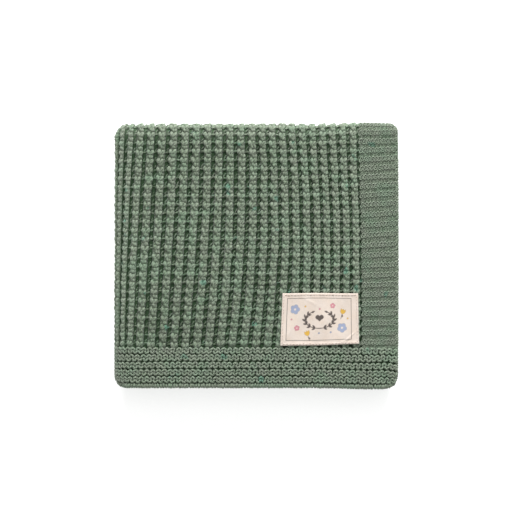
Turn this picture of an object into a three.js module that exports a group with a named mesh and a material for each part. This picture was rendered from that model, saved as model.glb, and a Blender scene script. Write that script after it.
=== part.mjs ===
// Knitted baby blanket, folded: a ribbed field with plain ridged borders and a sewn-on cloth label.
// It is first folded in three, back and forth, towards the back. That stack of three layers is then
// folded in three across the width, so nine layers lie on each other. Millimetres, +Z up, origin under
// the middle. +X is the side of the free ends, -Y the side of the free bottom border.

import * as THREE from "three";

// Outline of the folded blanket
const LEFT = -150.3;
const RIGHT = 150.3;
const FRONT = -139.8;
const BACK = 139.8;

// One layer of the knit, and the space that parts it from the next
const CLOTH = 5.2;
const GAP = 0.6;
const LAYER = CLOTH + GAP;
const STACK = 3 * CLOTH + 2 * GAP;
const HALF = STACK / 2;

// Heights of the middle of the stack in its three passes
const Z_BOTTOM = HALF;
const Z_MIDDLE = Z_BOTTOM + STACK + GAP;
const Z_TOP = Z_MIDDLE + STACK + GAP;

// The two folds across the width: the right one joins the middle pass to the bottom pass, and the left
// one goes around the middle pass, from the bottom pass to the top pass
const RIGHT_FOLD_INSET = 1.5;
const RIGHT_FOLD_R = (Z_MIDDLE - Z_BOTTOM) / 2;
const RIGHT_FOLD_X = RIGHT - RIGHT_FOLD_INSET - RIGHT_FOLD_R - HALF;
const LEFT_FOLD_R = (Z_TOP - Z_BOTTOM) / 2;
const LEFT_FOLD_X = LEFT + LEFT_FOLD_R + HALF;
const OUTER_R = LEFT_FOLD_R + HALF;
const TUCKED_INSET = 2;
const TUCKED_END = LEFT_FOLD_X + TUCKED_INSET;

// Noses of the folds front and back, longer than they are high, and the free edges beside them
const NOSE = 9;
const NOSE_HEIGHT = CLOTH + GAP / 2;
const FRONT_NOSE_INSET = 1;
const BACK_EDGE_INSET = 2;
const EDGE_ROUND = 2.6;
const LIP_ANGLE = 0.9;

// Rows of the knit: the grooves of the bottom border, measured from its free edge
const BORDER_GROOVES = [5.3, 12.7, 20.4, 28, 36, 45];
const BORDER = BORDER_GROOVES[BORDER_GROOVES.length - 1];
const RIDGE_HEIGHT = 0.6;
const GROOVE_HEIGHT = -1.3;
const RIDGE_PROFILE = [
  { share: 0.3, height: RIDGE_HEIGHT },
  { share: 0.7, height: RIDGE_HEIGHT },
  { share: 1, height: GROOVE_HEIGHT },
];

// The right border: its ridges rise towards the free end, most of all in the back half, and its last
// stitch lies low
const SIDE_RIDGES = 25;
const SIDE_SLOPE = 0.085;
const SIDE_SLOPE_POWER = 1.5;
const SEAM_WIDTH = 3;
const END_HEIGHT = -0.8;

// Ribs of the field: where the groove on the right of a rib runs, as the distance along the outer face
// from the right free end, at three places from back to front
const RIB_BACK_Y = 125;
const RIB_MIDDLE_Y = -22;
const RIB_FRONT_Y = -86;
const RIB_LINES = [
  { rib: 0, back: 42.5, middle: 39.5, front: 39 },
  { rib: 5, back: 95.5, middle: 91, front: 94 },
  { rib: 10, back: 148.5, middle: 149.5, front: 155.5 },
  { rib: 15, back: 206.5, middle: 213, front: 218 },
  { rib: 20, back: 267, middle: 275.5, front: 278.5 },
  { rib: 22, back: 289, middle: 297, front: 299 },
  { rib: 28, back: 358, middle: 360, front: 360 },
  { rib: 80, back: 966, middle: 968, front: 968 },
];
const RIB_PROFILE = [
  { phase: 0, height: -1.8 },
  { phase: 0.24, height: 0.2 },
  { phase: 0.5, height: 0.8 },
  { phase: 0.76, height: 0.2 },
];
const CREST = 0.8;

// Corners in plan, and how much the edges bow out between them
const CORNERS = {
  backLeft: 15,
  frontLeft: 13.5,
  backRight: 10,
  frontRight: 16,
};
const RIGHT_BOW = 0.7;
const BACK_BOW = { size: 1.1, x: 110, width: 25 };
const FRONT_BOW = { size: 1.2, x: 122, width: 35 };

// Soft unevenness of the height, as a share of it
const SWELLS = [
  { share: 0.012, acrossX: 0.021, acrossY: 0.013, shift: 0.4 },
  { share: 0.009, acrossX: -0.012, acrossY: 0.029, shift: 2.1 },
];
const DROP_WIDTH = 26;
const RIGHT_DROP = 0.02;
const FRONT_DROP = 0.015;
const CORNER_DROP = 0.03;

// The label, by its four corners
const LABEL = {
  backLeft: [28, -39.4],
  backRight: [107.8, -39.6],
  frontRight: [108.7, -92.9],
  frontLeft: [25.6, -95],
};
const LABEL_THICKNESS = 1;
const LABEL_GAP = 0.4;
const LABEL_WAVE = 0.3;
const LABEL_WAVE_X = 0.12;
const LABEL_WAVE_Y = 0.09;
const LABEL_STEPS_X = 16;
const LABEL_STEPS_Y = 10;

const KNIT_COLOUR = "#66745f";
const LABEL_COLOUR = "#e8dbcf";

// The path of the stack's middle, from the tucked end of the middle pass to the free end on top. Each
// stretch gives the point, the way out of the stack, and how fast its outer face grows.
const STRETCHES = [
  {
    name: "middle",
    length: RIGHT_FOLD_X - TUCKED_END,
    outer: 1,
    at: (d) => ({ x: TUCKED_END + d, z: Z_MIDDLE, nx: 0, nz: 1 }),
  },
  {
    name: "right fold",
    length: Math.PI * RIGHT_FOLD_R,
    outer: (RIGHT_FOLD_R + HALF) / RIGHT_FOLD_R,
    at: (d) => turn(RIGHT_FOLD_X, Z_BOTTOM + RIGHT_FOLD_R, RIGHT_FOLD_R, Math.PI / 2 - d / RIGHT_FOLD_R),
  },
  {
    name: "bottom",
    length: RIGHT_FOLD_X - LEFT_FOLD_X,
    outer: 1,
    at: (d) => ({ x: RIGHT_FOLD_X - d, z: Z_BOTTOM, nx: 0, nz: -1 }),
  },
  {
    name: "left fold",
    length: Math.PI * LEFT_FOLD_R,
    outer: OUTER_R / LEFT_FOLD_R,
    at: (d) => turn(LEFT_FOLD_X, Z_BOTTOM + LEFT_FOLD_R, LEFT_FOLD_R, -Math.PI / 2 - d / LEFT_FOLD_R),
  },
  {
    name: "top",
    length: RIGHT - LEFT_FOLD_X,
    outer: 1,
    at: (d) => ({ x: LEFT_FOLD_X + d, z: Z_TOP, nx: 0, nz: 1 }),
  },
];
let start = 0;
for (const stretch of STRETCHES) {
  stretch.start = start;
  start += stretch.length;
  stretch.end = start;
}
const PATH_END = start;
const [MIDDLE_PASS, RIGHT_FOLD, BOTTOM_PASS, LEFT_FOLD, TOP_PASS] = STRETCHES;

function turn(x, z, radius, angle) {
  const nx = Math.cos(angle);
  const nz = Math.sin(angle);
  return { x: x + radius * nx, z: z + radius * nz, nx, nz };
}

function pathAt(s) {
  const stretch = STRETCHES.find((one) => s <= one.end) ?? TOP_PASS;
  return stretch.at(s - stretch.start);
}

// The path position that lies a distance along the outer face from the free right end
function positionOf(distance) {
  let left = distance;
  for (const stretch of [...STRETCHES].reverse()) {
    const outerLength = stretch.length * stretch.outer;
    if (left <= outerLength) {
      return stretch.end - left / stretch.outer;
    }
    left -= outerLength;
  }
  return 0;
}

function outerDistanceOf(s) {
  let distance = 0;
  for (const stretch of STRETCHES) {
    const from = Math.max(s, stretch.start);
    distance += Math.max(0, stretch.end - from) * stretch.outer;
  }
  return distance;
}

const clamp = (value, low, high) => Math.min(high, Math.max(low, value));
const smooth = (value) => value * value * (3 - 2 * value);

// How far ribs and ridges stand out along the path, from 0 to 1: not on the hidden middle pass, nor
// underneath
const RELIEF_MARGIN = 0.06;
const RELIEF_FADE = 0.17;

function relief(s) {
  const right = clamp((s - RIGHT_FOLD.start) / RIGHT_FOLD.length, 0, 1);
  const left = clamp((s - LEFT_FOLD.start) / LEFT_FOLD.length, 0, 1);
  const fade = (share) => clamp(share / RELIEF_FADE, 0, 1);
  return Math.max(fade(right) * fade(1 - RELIEF_MARGIN - right), fade(left - RELIEF_MARGIN));
}

// The same around the back fold, whose lower half lies between two layers
const NOSE_RELIEF_END = 0.85;
const NOSE_RELIEF_FADE = 0.3;

function reliefOnFace(v) {
  const turned = (v - FLAT_END) / NOSE_LENGTH;
  return clamp((NOSE_RELIEF_END - turned) / NOSE_RELIEF_FADE, 0, 1);
}

// Where a rib's groove crosses the given y, from the table: a parabola through its three places,
// and straight lines from rib to rib
function ribLine(rib, y) {
  const upper = RIB_LINES.findIndex((line) => line.rib > rib);
  const [a, b] = RIB_LINES.slice(upper - 1, upper + 1);
  return THREE.MathUtils.lerp(acrossY(a, y), acrossY(b, y), (rib - a.rib) / (b.rib - a.rib));
}

// The rib, as a number with its fraction, that lies at a distance from the free end
function ribAt(distance, y) {
  const upper = RIB_LINES.findIndex((line, i) => i > 0 && acrossY(line, y) > distance);
  const [a, b] = RIB_LINES.slice(upper - 1, upper + 1);
  const share = (distance - acrossY(a, y)) / (acrossY(b, y) - acrossY(a, y));
  return THREE.MathUtils.lerp(a.rib, b.rib, share);
}

function acrossY(line, y) {
  const [p, q, r] = [RIB_BACK_Y, RIB_MIDDLE_Y, RIB_FRONT_Y];
  return (
    (line.back * (y - q) * (y - r)) / ((p - q) * (p - r)) +
    (line.middle * (y - p) * (y - r)) / ((q - p) * (q - r)) +
    (line.front * (y - p) * (y - q)) / ((r - p) * (r - q))
  );
}

// The outer face of the top layer, by the distance v from its free front edge: flat to the back fold,
// then around its nose. h is the height over the stack's middle.
const FLAT_END = BACK - NOSE - FRONT;
const NOSE_STEPS = 12;
const NOSE_LENGTH = noseTable().at(-1).v;
const FACE_END = FLAT_END + NOSE_LENGTH;

function nosePoint(angle) {
  const y = BACK - NOSE + NOSE * Math.sin(angle);
  const h = HALF - NOSE_HEIGHT + NOSE_HEIGHT * Math.cos(angle);
  const normal = new THREE.Vector2(Math.sin(angle) / NOSE, Math.cos(angle) / NOSE_HEIGHT).normalize();
  return { y, h, ny: normal.x, nh: normal.y };
}

function noseTable() {
  const table = [{ v: 0, angle: 0 }];
  for (let i = 1; i <= NOSE_STEPS; i++) {
    const angle = (Math.PI * i) / NOSE_STEPS;
    const a = nosePoint(table[i - 1].angle);
    const b = nosePoint(angle);
    table.push({ v: table[i - 1].v + Math.hypot(b.y - a.y, b.h - a.h), angle });
  }
  return table;
}

function facePoint(v) {
  if (v <= FLAT_END) {
    return { y: FRONT + v, h: HALF, ny: 0, nh: 1 };
  }
  const table = noseTable();
  const over = Math.min(v - FLAT_END, NOSE_LENGTH);
  const next = clamp(table.findIndex((one) => one.v >= over), 1, NOSE_STEPS);
  const a = table[next - 1];
  const b = table[next];
  return nosePoint(THREE.MathUtils.lerp(a.angle, b.angle, (over - a.v) / (b.v - a.v)));
}

// Turns the square corners of the plan into round ones, and bows the edges a little
function inPlan(x, y) {
  const right = x > 0;
  const back = y > 0;
  const name = (back ? "back" : "front") + (right ? "Right" : "Left");
  const radius = CORNERS[name];
  const cornerX = (right ? RIGHT : LEFT) - Math.sign(x) * radius;
  const cornerY = (back ? BACK : FRONT) - Math.sign(y) * radius;
  const a = Math.max(0, ((x - cornerX) * Math.sign(x)) / radius);
  const b = Math.max(0, ((y - cornerY) * Math.sign(y)) / radius);
  const px = a > 0 ? cornerX + Math.sign(x) * radius * a * Math.sqrt(1 - (b * b) / 2) : x;
  const py = b > 0 ? cornerY + Math.sign(y) * radius * b * Math.sqrt(1 - (a * a) / 2) : y;
  const bowX = RIGHT_BOW * clamp(x / RIGHT, 0, 1) * (1 - (y / BACK) ** 2);
  const bow = back ? BACK_BOW : FRONT_BOW;
  const bowY = ((bow.size * y) / BACK) * Math.exp(-(((x - bow.x) / bow.width) ** 2));
  return { x: px + bowX, y: py + bowY };
}

// The height is uneven in broad swells, and drops a little towards the free front and right edges
function heightShare(x, y) {
  let share = 1;
  for (const swell of SWELLS) {
    share += swell.share * Math.sin(swell.acrossX * x + swell.acrossY * y + swell.shift);
  }
  const nearRight = smooth(clamp(1 - (RIGHT - x) / DROP_WIDTH, 0, 1));
  const nearFront = smooth(clamp(1 - (y - FRONT) / DROP_WIDTH, 0, 1));
  const corner = CORNER_DROP * nearRight * nearFront;
  return share - RIGHT_DROP * nearRight - FRONT_DROP * nearFront - corner;
}

// A point of the folded blanket: s along the path, y across it and h out of the stack's middle
function place(s, y, h) {
  const on = pathAt(s);
  const x = on.x + on.nx * h;
  const z = on.z + on.nz * h;
  const plan = inPlan(x, y);
  return new THREE.Vector3(plan.x, plan.y, z * heightShare(x, y));
}

// A closed body of rows that run along the path, each with its own number of points
class RowBody {
  constructor() {
    this.positions = [];
    this.index = [];
  }

  // A point at s on the path, at a place of the section: y, h and run, the way along the cloth
  point(s, { y, h, run }) {
    this.positions.push(...place(s, y, h).toArray());
    return { s, run, rib: -ribAt(outerDistanceOf(s), y), id: this.positions.length / 3 - 1 };
  }

  row(positions, at) {
    return positions.map((s) => this.point(s, at));
  }

  triangle(a, b, c) {
    this.index.push(a.id, b.id, c.id);
  }

  // Joins two rows point by point, in the order of s, rib or run. Where their last points are parted
  // by others in between, the last triangle is a fan to those.
  strip(row, next, order = "s", between = []) {
    const steps = row.length + next.length - 2;
    let i = 0;
    let j = 0;
    while (i + j < steps) {
      const rowLeft = i < row.length - 1;
      const nextLeft = j < next.length - 1;
      const onRow = !nextLeft || (rowLeft && row[i + 1][order] <= next[j + 1][order]);
      if (i + j === steps - 1 && between.length > 0) {
        this.fan(onRow ? row[i] : next[j], [row.at(-1), ...between, next.at(-1)]);
      } else if (onRow) {
        this.triangle(row[i], row[i + 1], next[j]);
      } else {
        this.triangle(row[i], next[j + 1], next[j]);
      }
      i += onRow ? 1 : 0;
      j += onRow ? 0 : 1;
    }
  }

  strips(rows) {
    for (let i = 0; i + 1 < rows.length; i++) {
      this.strip(rows[i], rows[i + 1]);
    }
  }

  fan(centre, chain) {
    for (let k = 0; k + 1 < chain.length; k++) {
      this.triangle(centre, chain[k], chain[k + 1]);
    }
  }

  // Closes one end of the cloth between two chains of row ends that share their first and last point
  endCap(chain, other) {
    const inner = chain.slice(1, -1);
    const otherInner = other.slice(1, -1);
    this.triangle(chain[0], inner[0], otherInner[0]);
    this.strip(inner, otherInner, "run");
    this.triangle(chain.at(-1), otherInner.at(-1), inner.at(-1));
  }

  geometry() {
    const geometry = new THREE.BufferGeometry();
    geometry.setAttribute("position", new THREE.Float32BufferAttribute(this.positions, 3));
    geometry.setIndex(this.index);
    geometry.computeVertexNormals();
    return geometry;
  }
}

// Path positions of a plain row: enough to follow both folds and the corners
const PASS_X = [-95, -30, 35, 100];
const END_STEPS = [26, 11, 4];
const RIGHT_FOLD_STEPS = 6;
const LEFT_FOLD_STEPS = 8;

function foldPositions(fold, steps) {
  return Array.from({ length: steps + 1 }, (_, i) => fold.start + (fold.length * i) / steps);
}

const PLAIN = [
  0,
  ...PASS_X.map((x) => MIDDLE_PASS.start + x - TUCKED_END),
  ...foldPositions(RIGHT_FOLD, RIGHT_FOLD_STEPS),
  ...PASS_X.map((x) => BOTTOM_PASS.start + RIGHT_FOLD_X - x).reverse(),
  ...foldPositions(LEFT_FOLD, LEFT_FOLD_STEPS),
  ...PASS_X.map((x) => TOP_PASS.start + x - LEFT_FOLD_X),
  ...END_STEPS.map((step) => PATH_END - step),
  PATH_END,
];

// The section, by the three layers A, B and C from the top down, and the turns between them. A side of
// 1 is the face of the cloth that is outside on A, and -1 is its other face.
const HALF_CLOTH = CLOTH / 2;
const BACK_TURN_Y = BACK - NOSE;
const FRONT_TURN_Y = FRONT + NOSE + FRONT_NOSE_INSET;
const BACK_EDGE_Y = BACK - BACK_EDGE_INSET;
const TURN_RUN = 20;
const RUN_B = FLAT_END + TURN_RUN;
const RUN_FRONT_TURN = RUN_B + BACK_TURN_Y - FRONT_TURN_Y;
const RUN_C = RUN_FRONT_TURN + TURN_RUN;
const LAYER_Y = [FRONT_TURN_Y, -110, 0, 110, BACK_TURN_Y];

function onA(y, side) {
  return { y, h: LAYER + side * HALF_CLOTH, run: y - FRONT };
}

function onB(y, side) {
  return { y, h: -side * HALF_CLOTH, run: RUN_B + BACK_TURN_Y - y };
}

function onC(y, side) {
  return { y, h: -LAYER + side * HALF_CLOTH, run: RUN_C + y - FRONT_TURN_Y };
}

// A turn from one layer to the next: its outer face is a long nose, and its inner one a tight bend
const OUTER_TURN_STEPS = 6;
const INNER_TURN_STEPS = 2;

function turnPlaces(y, h, towards, isOuter, run) {
  const steps = isOuter ? OUTER_TURN_STEPS : INNER_TURN_STEPS;
  const reach = towards * (isOuter ? NOSE : NOSE - CLOTH);
  const height = isOuter ? NOSE_HEIGHT : GAP / 2;
  return Array.from({ length: steps }, (_, i) => {
    const share = (i + 0.5) / steps;
    const angle = Math.PI * share;
    return { y: y + reach * Math.sin(angle), h: h + height * Math.cos(angle), run: run + TURN_RUN * share };
  });
}

// A corner of the rounded lip at a free edge of a layer
function lipPlace(at, towards, side) {
  const middle = at.h - side * HALF_CLOTH;
  const y = at.y - towards * EDGE_ROUND * (1 - Math.cos(LIP_ANGLE));
  return { ...at, y, h: middle + side * HALF_CLOTH * Math.sin(LIP_ANGLE) };
}

// A place on A's outer face or around the back turn, raised by a height along the face's normal
function onFace(v, height) {
  const face = facePoint(v);
  const turned = (TURN_RUN * Math.max(0, v - FLAT_END)) / NOSE_LENGTH;
  const run = Math.min(v, FLAT_END) + turned;
  return { y: face.y + face.ny * height, h: face.h + face.nh * height, run };
}

// The bottom border's rows, from the free edge: two points on each ridge, then its groove
function bottomBorderRows(body) {
  const rows = [];
  let from = 0;
  for (const groove of BORDER_GROOVES) {
    for (const { share, height } of RIDGE_PROFILE) {
      const v = THREE.MathUtils.lerp(from, groove, share);
      const inset = v + EDGE_ROUND * (1 - v / BORDER);
      const raised = (s) => (s === PATH_END ? END_HEIGHT : height * relief(s));
      rows.push(PLAIN.map((s) => body.point(s, onFace(inset, raised(s)))));
    }
    from = groove;
  }
  return rows.slice(0, -1);
}

// Rows of the right border run slightly uphill to the free end, and their ridges follow. The first
// point of each lies in the groove that parts the border from the ribs, and the last one is level.
const SIDE_ROWS = 2 * SIDE_RIDGES;

function sideRowV(row) {
  return THREE.MathUtils.lerp(BORDER, FACE_END, row / SIDE_ROWS);
}

function sideBorderRow(body, row) {
  const v = sideRowV(row);
  const seam = ribLine(0, Math.min(facePoint(v).y, BACK_TURN_Y));
  const slope = SIDE_SLOPE * Math.sin(Math.PI * (row / SIDE_ROWS) ** SIDE_SLOPE_POWER);
  const ridge = row % 2 === 0 ? GROOVE_HEIGHT : RIDGE_HEIGHT;
  return [seam, seam - SEAM_WIDTH, ...END_STEPS, 0].map((distance, column) => {
    const raised = column === 0 ? RIB_PROFILE[0].height : ridge;
    const height = (distance === 0 ? END_HEIGHT : raised) * reliefOnFace(v);
    const alongCloth = Math.min(v + slope * (seam - distance), FACE_END);
    return body.point(PATH_END - distance, onFace(alongCloth, height));
  });
}

// A row across the ribs: plain on the hidden passes, and four points for each rib where they show
const RIBBED_EVERY = 8;
const RIBBED_CLOSE = 6;

function ribbedRow(body, v, seamPoint) {
  const y = Math.min(facePoint(v).y, BACK_TURN_Y);
  const hidden = PLAIN.filter((s) => relief(s) === 0).map((s) => ({ s, height: 0 }));
  const ribs = [];
  for (let rib = 0; ribLine(rib, y) < outerDistanceOf(RIGHT_FOLD.start); rib++) {
    for (const { phase, height } of RIB_PROFILE) {
      const s = positionOf(ribLine(rib + phase, y));
      if (relief(s) > 0) {
        ribs.push({ s, height: height * relief(s) * reliefOnFace(v) });
      }
    }
  }
  const points = [...hidden, ...ribs].filter((one) => one.s < seamPoint.s).sort((a, b) => a.s - b.s);
  return [...points.map(({ s, height }) => body.point(s, onFace(v, height))), seamPoint];
}

function blanketGeometry() {
  const body = new RowBody();
  const plainRow = (at) => body.row(PLAIN, at);
  const frontTip = plainRow(onA(FRONT, 0));
  const backTip = plainRow(onC(BACK_EDGE_Y, 0));
  const fromBack = [...LAYER_Y].reverse();

  // The face that is outside on A: the bottom border, the ribbed field beside the right one, then B, C
  const border = bottomBorderRows(body);
  const side = Array.from({ length: SIDE_ROWS + 1 }, (_, row) => sideBorderRow(body, row));
  const isRibbed = (row) => row % RIBBED_EVERY === 0 || row > SIDE_ROWS - RIBBED_CLOSE;
  const stops = side.map((_, row) => row).filter(isRibbed);
  const ribbed = stops.map((row) => ribbedRow(body, sideRowV(row), side[row][0]));
  const whole = (ribs, sides) => [...ribs, ...sides.slice(1)];
  const lip = plainRow(lipPlace(onA(FRONT, 1), -1, 1));
  const inside = [
    ...fromBack.slice(1).map((y) => plainRow(onB(y, 1))),
    ...turnPlaces(FRONT_TURN_Y, -LAYER / 2, -1, false, RUN_FRONT_TURN).map(plainRow),
    ...LAYER_Y.map((y) => plainRow(onC(y, 1))),
    plainRow(lipPlace(onC(BACK_EDGE_Y, 1), 1, 1)),
    backTip,
  ];

  // The other face of the cloth, from A to C
  const reverse = [
    plainRow(lipPlace(onA(FRONT, -1), -1, -1)),
    ...LAYER_Y.map((y) => plainRow(onA(y, -1))),
    ...turnPlaces(BACK_TURN_Y, LAYER / 2, 1, false, FLAT_END).map(plainRow),
    ...fromBack.map((y) => plainRow(onB(y, -1))),
    ...turnPlaces(FRONT_TURN_Y, -LAYER / 2, -1, true, RUN_FRONT_TURN).map(plainRow),
    ...LAYER_Y.map((y) => plainRow(onC(y, -1))),
    plainRow(lipPlace(onC(BACK_EDGE_Y, -1), 1, -1)),
  ];

  body.strips([frontTip, lip, ...border, whole(ribbed[0], side[0])]);
  body.strips(side);
  for (let i = 0; i + 1 < ribbed.length; i++) {
    const between = side.slice(stops[i] + 1, stops[i + 1]).map((row) => row[0]);
    body.strip(ribbed[i], ribbed[i + 1], "rib", between);
  }
  body.strips([whole(ribbed.at(-1), side.at(-1)), ...inside]);
  body.strips([backTip, ...[...reverse].reverse(), frontTip]);

  const tucked = (rows) => rows.map((row) => row[0]);
  const free = (rows) => rows.map((row) => row.at(-1));
  const other = [frontTip, ...reverse, backTip];
  body.endCap(tucked([frontTip, lip, ...border, ...ribbed, ...inside]), tucked(other));
  body.endCap(free(other), free([frontTip, lip, ...border, ...side, ...inside]));
  return body.geometry();
}

// A thin sheet a little above the rib crests, with a faint wave
function labelGeometry() {
  const geometry = new THREE.BoxGeometry(1, 1, LABEL_THICKNESS, LABEL_STEPS_X, LABEL_STEPS_Y);
  const position = geometry.getAttribute("position");
  const corner = (name) => new THREE.Vector2(...LABEL[name]);
  for (let i = 0; i < position.count; i++) {
    const u = position.getX(i) + 0.5;
    const v = position.getY(i) + 0.5;
    const left = corner("frontLeft").lerp(corner("backLeft"), v);
    const at = left.lerp(corner("frontRight").lerp(corner("backRight"), v), u);
    const crest = (Z_TOP + HALF + CREST) * heightShare(at.x, at.y);
    const wave = LABEL_WAVE * (1 + Math.sin(LABEL_WAVE_X * at.x + LABEL_WAVE_Y * at.y));
    const middle = crest + LABEL_GAP + wave + LABEL_THICKNESS / 2;
    position.setXYZ(i, at.x, at.y, middle + position.getZ(i));
  }
  geometry.computeVertexNormals();
  return geometry;
}

function cloth(name, geometry, color, roughness) {
  const material = new THREE.MeshStandardMaterial({ color, roughness, metalness: 0 });
  const mesh = new THREE.Mesh(geometry, material);
  mesh.name = name;
  return mesh;
}

const part = new THREE.Group();
part.add(cloth("blanket", blanketGeometry(), KNIT_COLOUR, 0.95));
part.add(cloth("label", labelGeometry(), LABEL_COLOUR, 0.85));

export default part;
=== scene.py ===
"""A knitted baby blanket, folded into a square stack, with a sewn-on cloth label.

Laid out as an add-on: the sizes and colours are properties, each group of pieces has its operator, and a
panel lists them. Run as a script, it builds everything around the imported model.

All knitting is placed on the folded cloth by the same mapping as the solids. A place of the cloth is
(distance along its outer face from the right free end, distance across it from the front free edge,
height over the middle of its layer), in millimetres.
"""

import math
from collections import namedtuple

import bpy
import numpy as np
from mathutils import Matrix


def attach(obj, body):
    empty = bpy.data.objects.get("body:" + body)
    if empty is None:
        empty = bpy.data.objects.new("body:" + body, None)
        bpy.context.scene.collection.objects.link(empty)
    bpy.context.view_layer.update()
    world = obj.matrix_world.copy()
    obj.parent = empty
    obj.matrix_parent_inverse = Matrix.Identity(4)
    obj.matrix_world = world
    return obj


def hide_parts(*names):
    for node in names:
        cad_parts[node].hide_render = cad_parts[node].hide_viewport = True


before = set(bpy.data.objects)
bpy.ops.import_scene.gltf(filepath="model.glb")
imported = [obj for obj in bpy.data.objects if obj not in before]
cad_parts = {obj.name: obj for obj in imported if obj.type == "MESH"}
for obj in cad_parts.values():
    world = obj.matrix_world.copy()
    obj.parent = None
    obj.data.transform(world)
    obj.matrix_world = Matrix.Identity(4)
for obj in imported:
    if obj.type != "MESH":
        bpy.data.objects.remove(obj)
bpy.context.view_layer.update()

bl_info = {
    "name": "Knitted baby blanket",
    "version": (1, 0, 0),
    "blender": (4, 5, 0),
    "location": "View3D > Sidebar > Blanket",
    "description": "Builds a folded knitted blanket with ribs, ridged borders and a sewn-on label",
    "category": "Add Mesh",
}

MM = 0.001

# The folded stack, as in the solids (mm)
LEFT, RIGHT, FRONT, BACK = -150.3, 150.3, -139.8, 139.8
CLOTH, GAP = 5.2, 0.6
# How far the right fold, the front turn and the inner back edge stay inside the outline, and the tucked
# end beside the left fold's axis
FOLD_INSET, TURN_INSET, EDGE_INSET, TUCKED_GAP = 1.5, 1, 2, 2
# A layer with its gap, the strip of three layers, the heights of its three passes, and the two folds
LAYER = CLOTH + GAP
HALF_CLOTH = CLOTH / 2
STACK = 3 * CLOTH + 2 * GAP
HALF = STACK / 2
Z_BOTTOM = HALF
Z_MIDDLE = Z_BOTTOM + STACK + GAP
Z_TOP = Z_MIDDLE + STACK + GAP
RIGHT_FOLD_R = (Z_MIDDLE - Z_BOTTOM) / 2
RIGHT_FOLD_X = RIGHT - FOLD_INSET - RIGHT_FOLD_R - HALF
LEFT_FOLD_R = (Z_TOP - Z_BOTTOM) / 2
LEFT_FOLD_X = LEFT + LEFT_FOLD_R + HALF
TUCKED_END = LEFT_FOLD_X + TUCKED_GAP
# How far the turns between the layers of the strip reach out, half their height, and where they start
NOSE, NOSE_HEIGHT = 9.0, CLOTH + GAP / 2
BACK_TURN_Y = BACK - NOSE
FRONT_TURN_Y = FRONT + NOSE + TURN_INSET
BACK_EDGE_Y = BACK - EDGE_INSET
FLAT_END = BACK_TURN_Y - FRONT
# Radii of the corners in plan
CORNERS = {"back_left": 15, "front_left": 13.5, "back_right": 10, "front_right": 16}
# How far the edges bow out: on the right in its middle, and at the back and front also where and how wide
RIGHT_BOW = 0.7
BACK_BOW = (1.1, 110, 25)
FRONT_BOW = (1.2, 122, 35)
# Swells as a share of the height: size, turn per mm along x and along y, shift
SWELLS = ((0.012, 0.021, 0.013, 0.4), (0.009, -0.012, 0.029, 2.1))
# Drops as a share of the height, and how far they reach in
DROP_WIDTH, RIGHT_DROP, FRONT_DROP, CORNER_DROP = 26, 0.02, 0.015, 0.03
# The height of a rib over the cloth
CREST = 0.8

# Grooves that bound the ribs: their distance from the free end at three places from back to front (mm)
RIB_PLACES_Y = (125, -22, -86)
RIB_LINES = np.array(
    [
        # rib, back, middle, front
        (0, 42.5, 39.5, 39),
        (5, 95.5, 91, 94),
        (10, 148.5, 149.5, 155.5),
        (15, 206.5, 213, 218),
        (20, 267, 275.5, 278.5),
        (22, 289, 297, 299),
        (28, 358, 360, 360),
        (80, 966, 968, 968),
    ],
    float,
)

# Grooves between the ridges of the bottom border, and those of the right border with their row number:
# distance from the front free edge (mm)
BORDER_GROOVES = (5.3, 12.7, 20.4, 28, 36, 43.8)
BORDER = BORDER_GROOVES[-1]
SIDE_ROWS = np.array([(0, 45.6), (8, 125.3), (15, 199.3), (23, 274.4), (25, 293.7)])
SIDE_RIDGES = 25

# The label's corners in plan (mm)
LABEL = {
    "back_left": (28, -39.4),
    "back_right": (107.8, -39.6),
    "front_right": (108.7, -92.9),
    "front_left": (25.6, -95),
}


def linear(hex_colour):
    """A colour written as sRGB hex, as linear RGBA."""
    parts = [int(hex_colour[i : i + 2], 16) / 255 for i in (1, 3, 5)]
    curve = [c / 12.92 if c <= 0.04045 else ((c + 0.055) / 1.055) ** 2.4 for c in parts]
    return (*curve, 1.0)


# ---- the folded cloth as a mapping ----

# The path of the stack: the tucked pass, the right fold, the lower pass, the left fold and the top pass.
# Its outer face is longer on the folds, and is measured from the right free end.
STRETCH_LENGTHS = (
    RIGHT_FOLD_X - TUCKED_END,
    math.pi * RIGHT_FOLD_R,
    RIGHT_FOLD_X - LEFT_FOLD_X,
    math.pi * LEFT_FOLD_R,
    RIGHT - LEFT_FOLD_X,
)
STRETCH_STARTS = np.concatenate(([0], np.cumsum(STRETCH_LENGTHS)))
PATH_END = STRETCH_STARTS[-1]
OUTER_GROWTH = (1, (RIGHT_FOLD_R + HALF) / RIGHT_FOLD_R, 1, (LEFT_FOLD_R + HALF) / LEFT_FOLD_R, 1)
OUTER_LENGTHS = np.array(STRETCH_LENGTHS) * OUTER_GROWTH
OUTER_AT_STARTS = np.concatenate((np.cumsum(OUTER_LENGTHS[::-1])[::-1], [0]))
LEFT_FOLD_OUTER = (OUTER_AT_STARTS[4], OUTER_AT_STARTS[3])
RIGHT_FOLD_OUTER = (OUTER_AT_STARTS[2], OUTER_AT_STARTS[1])


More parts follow.
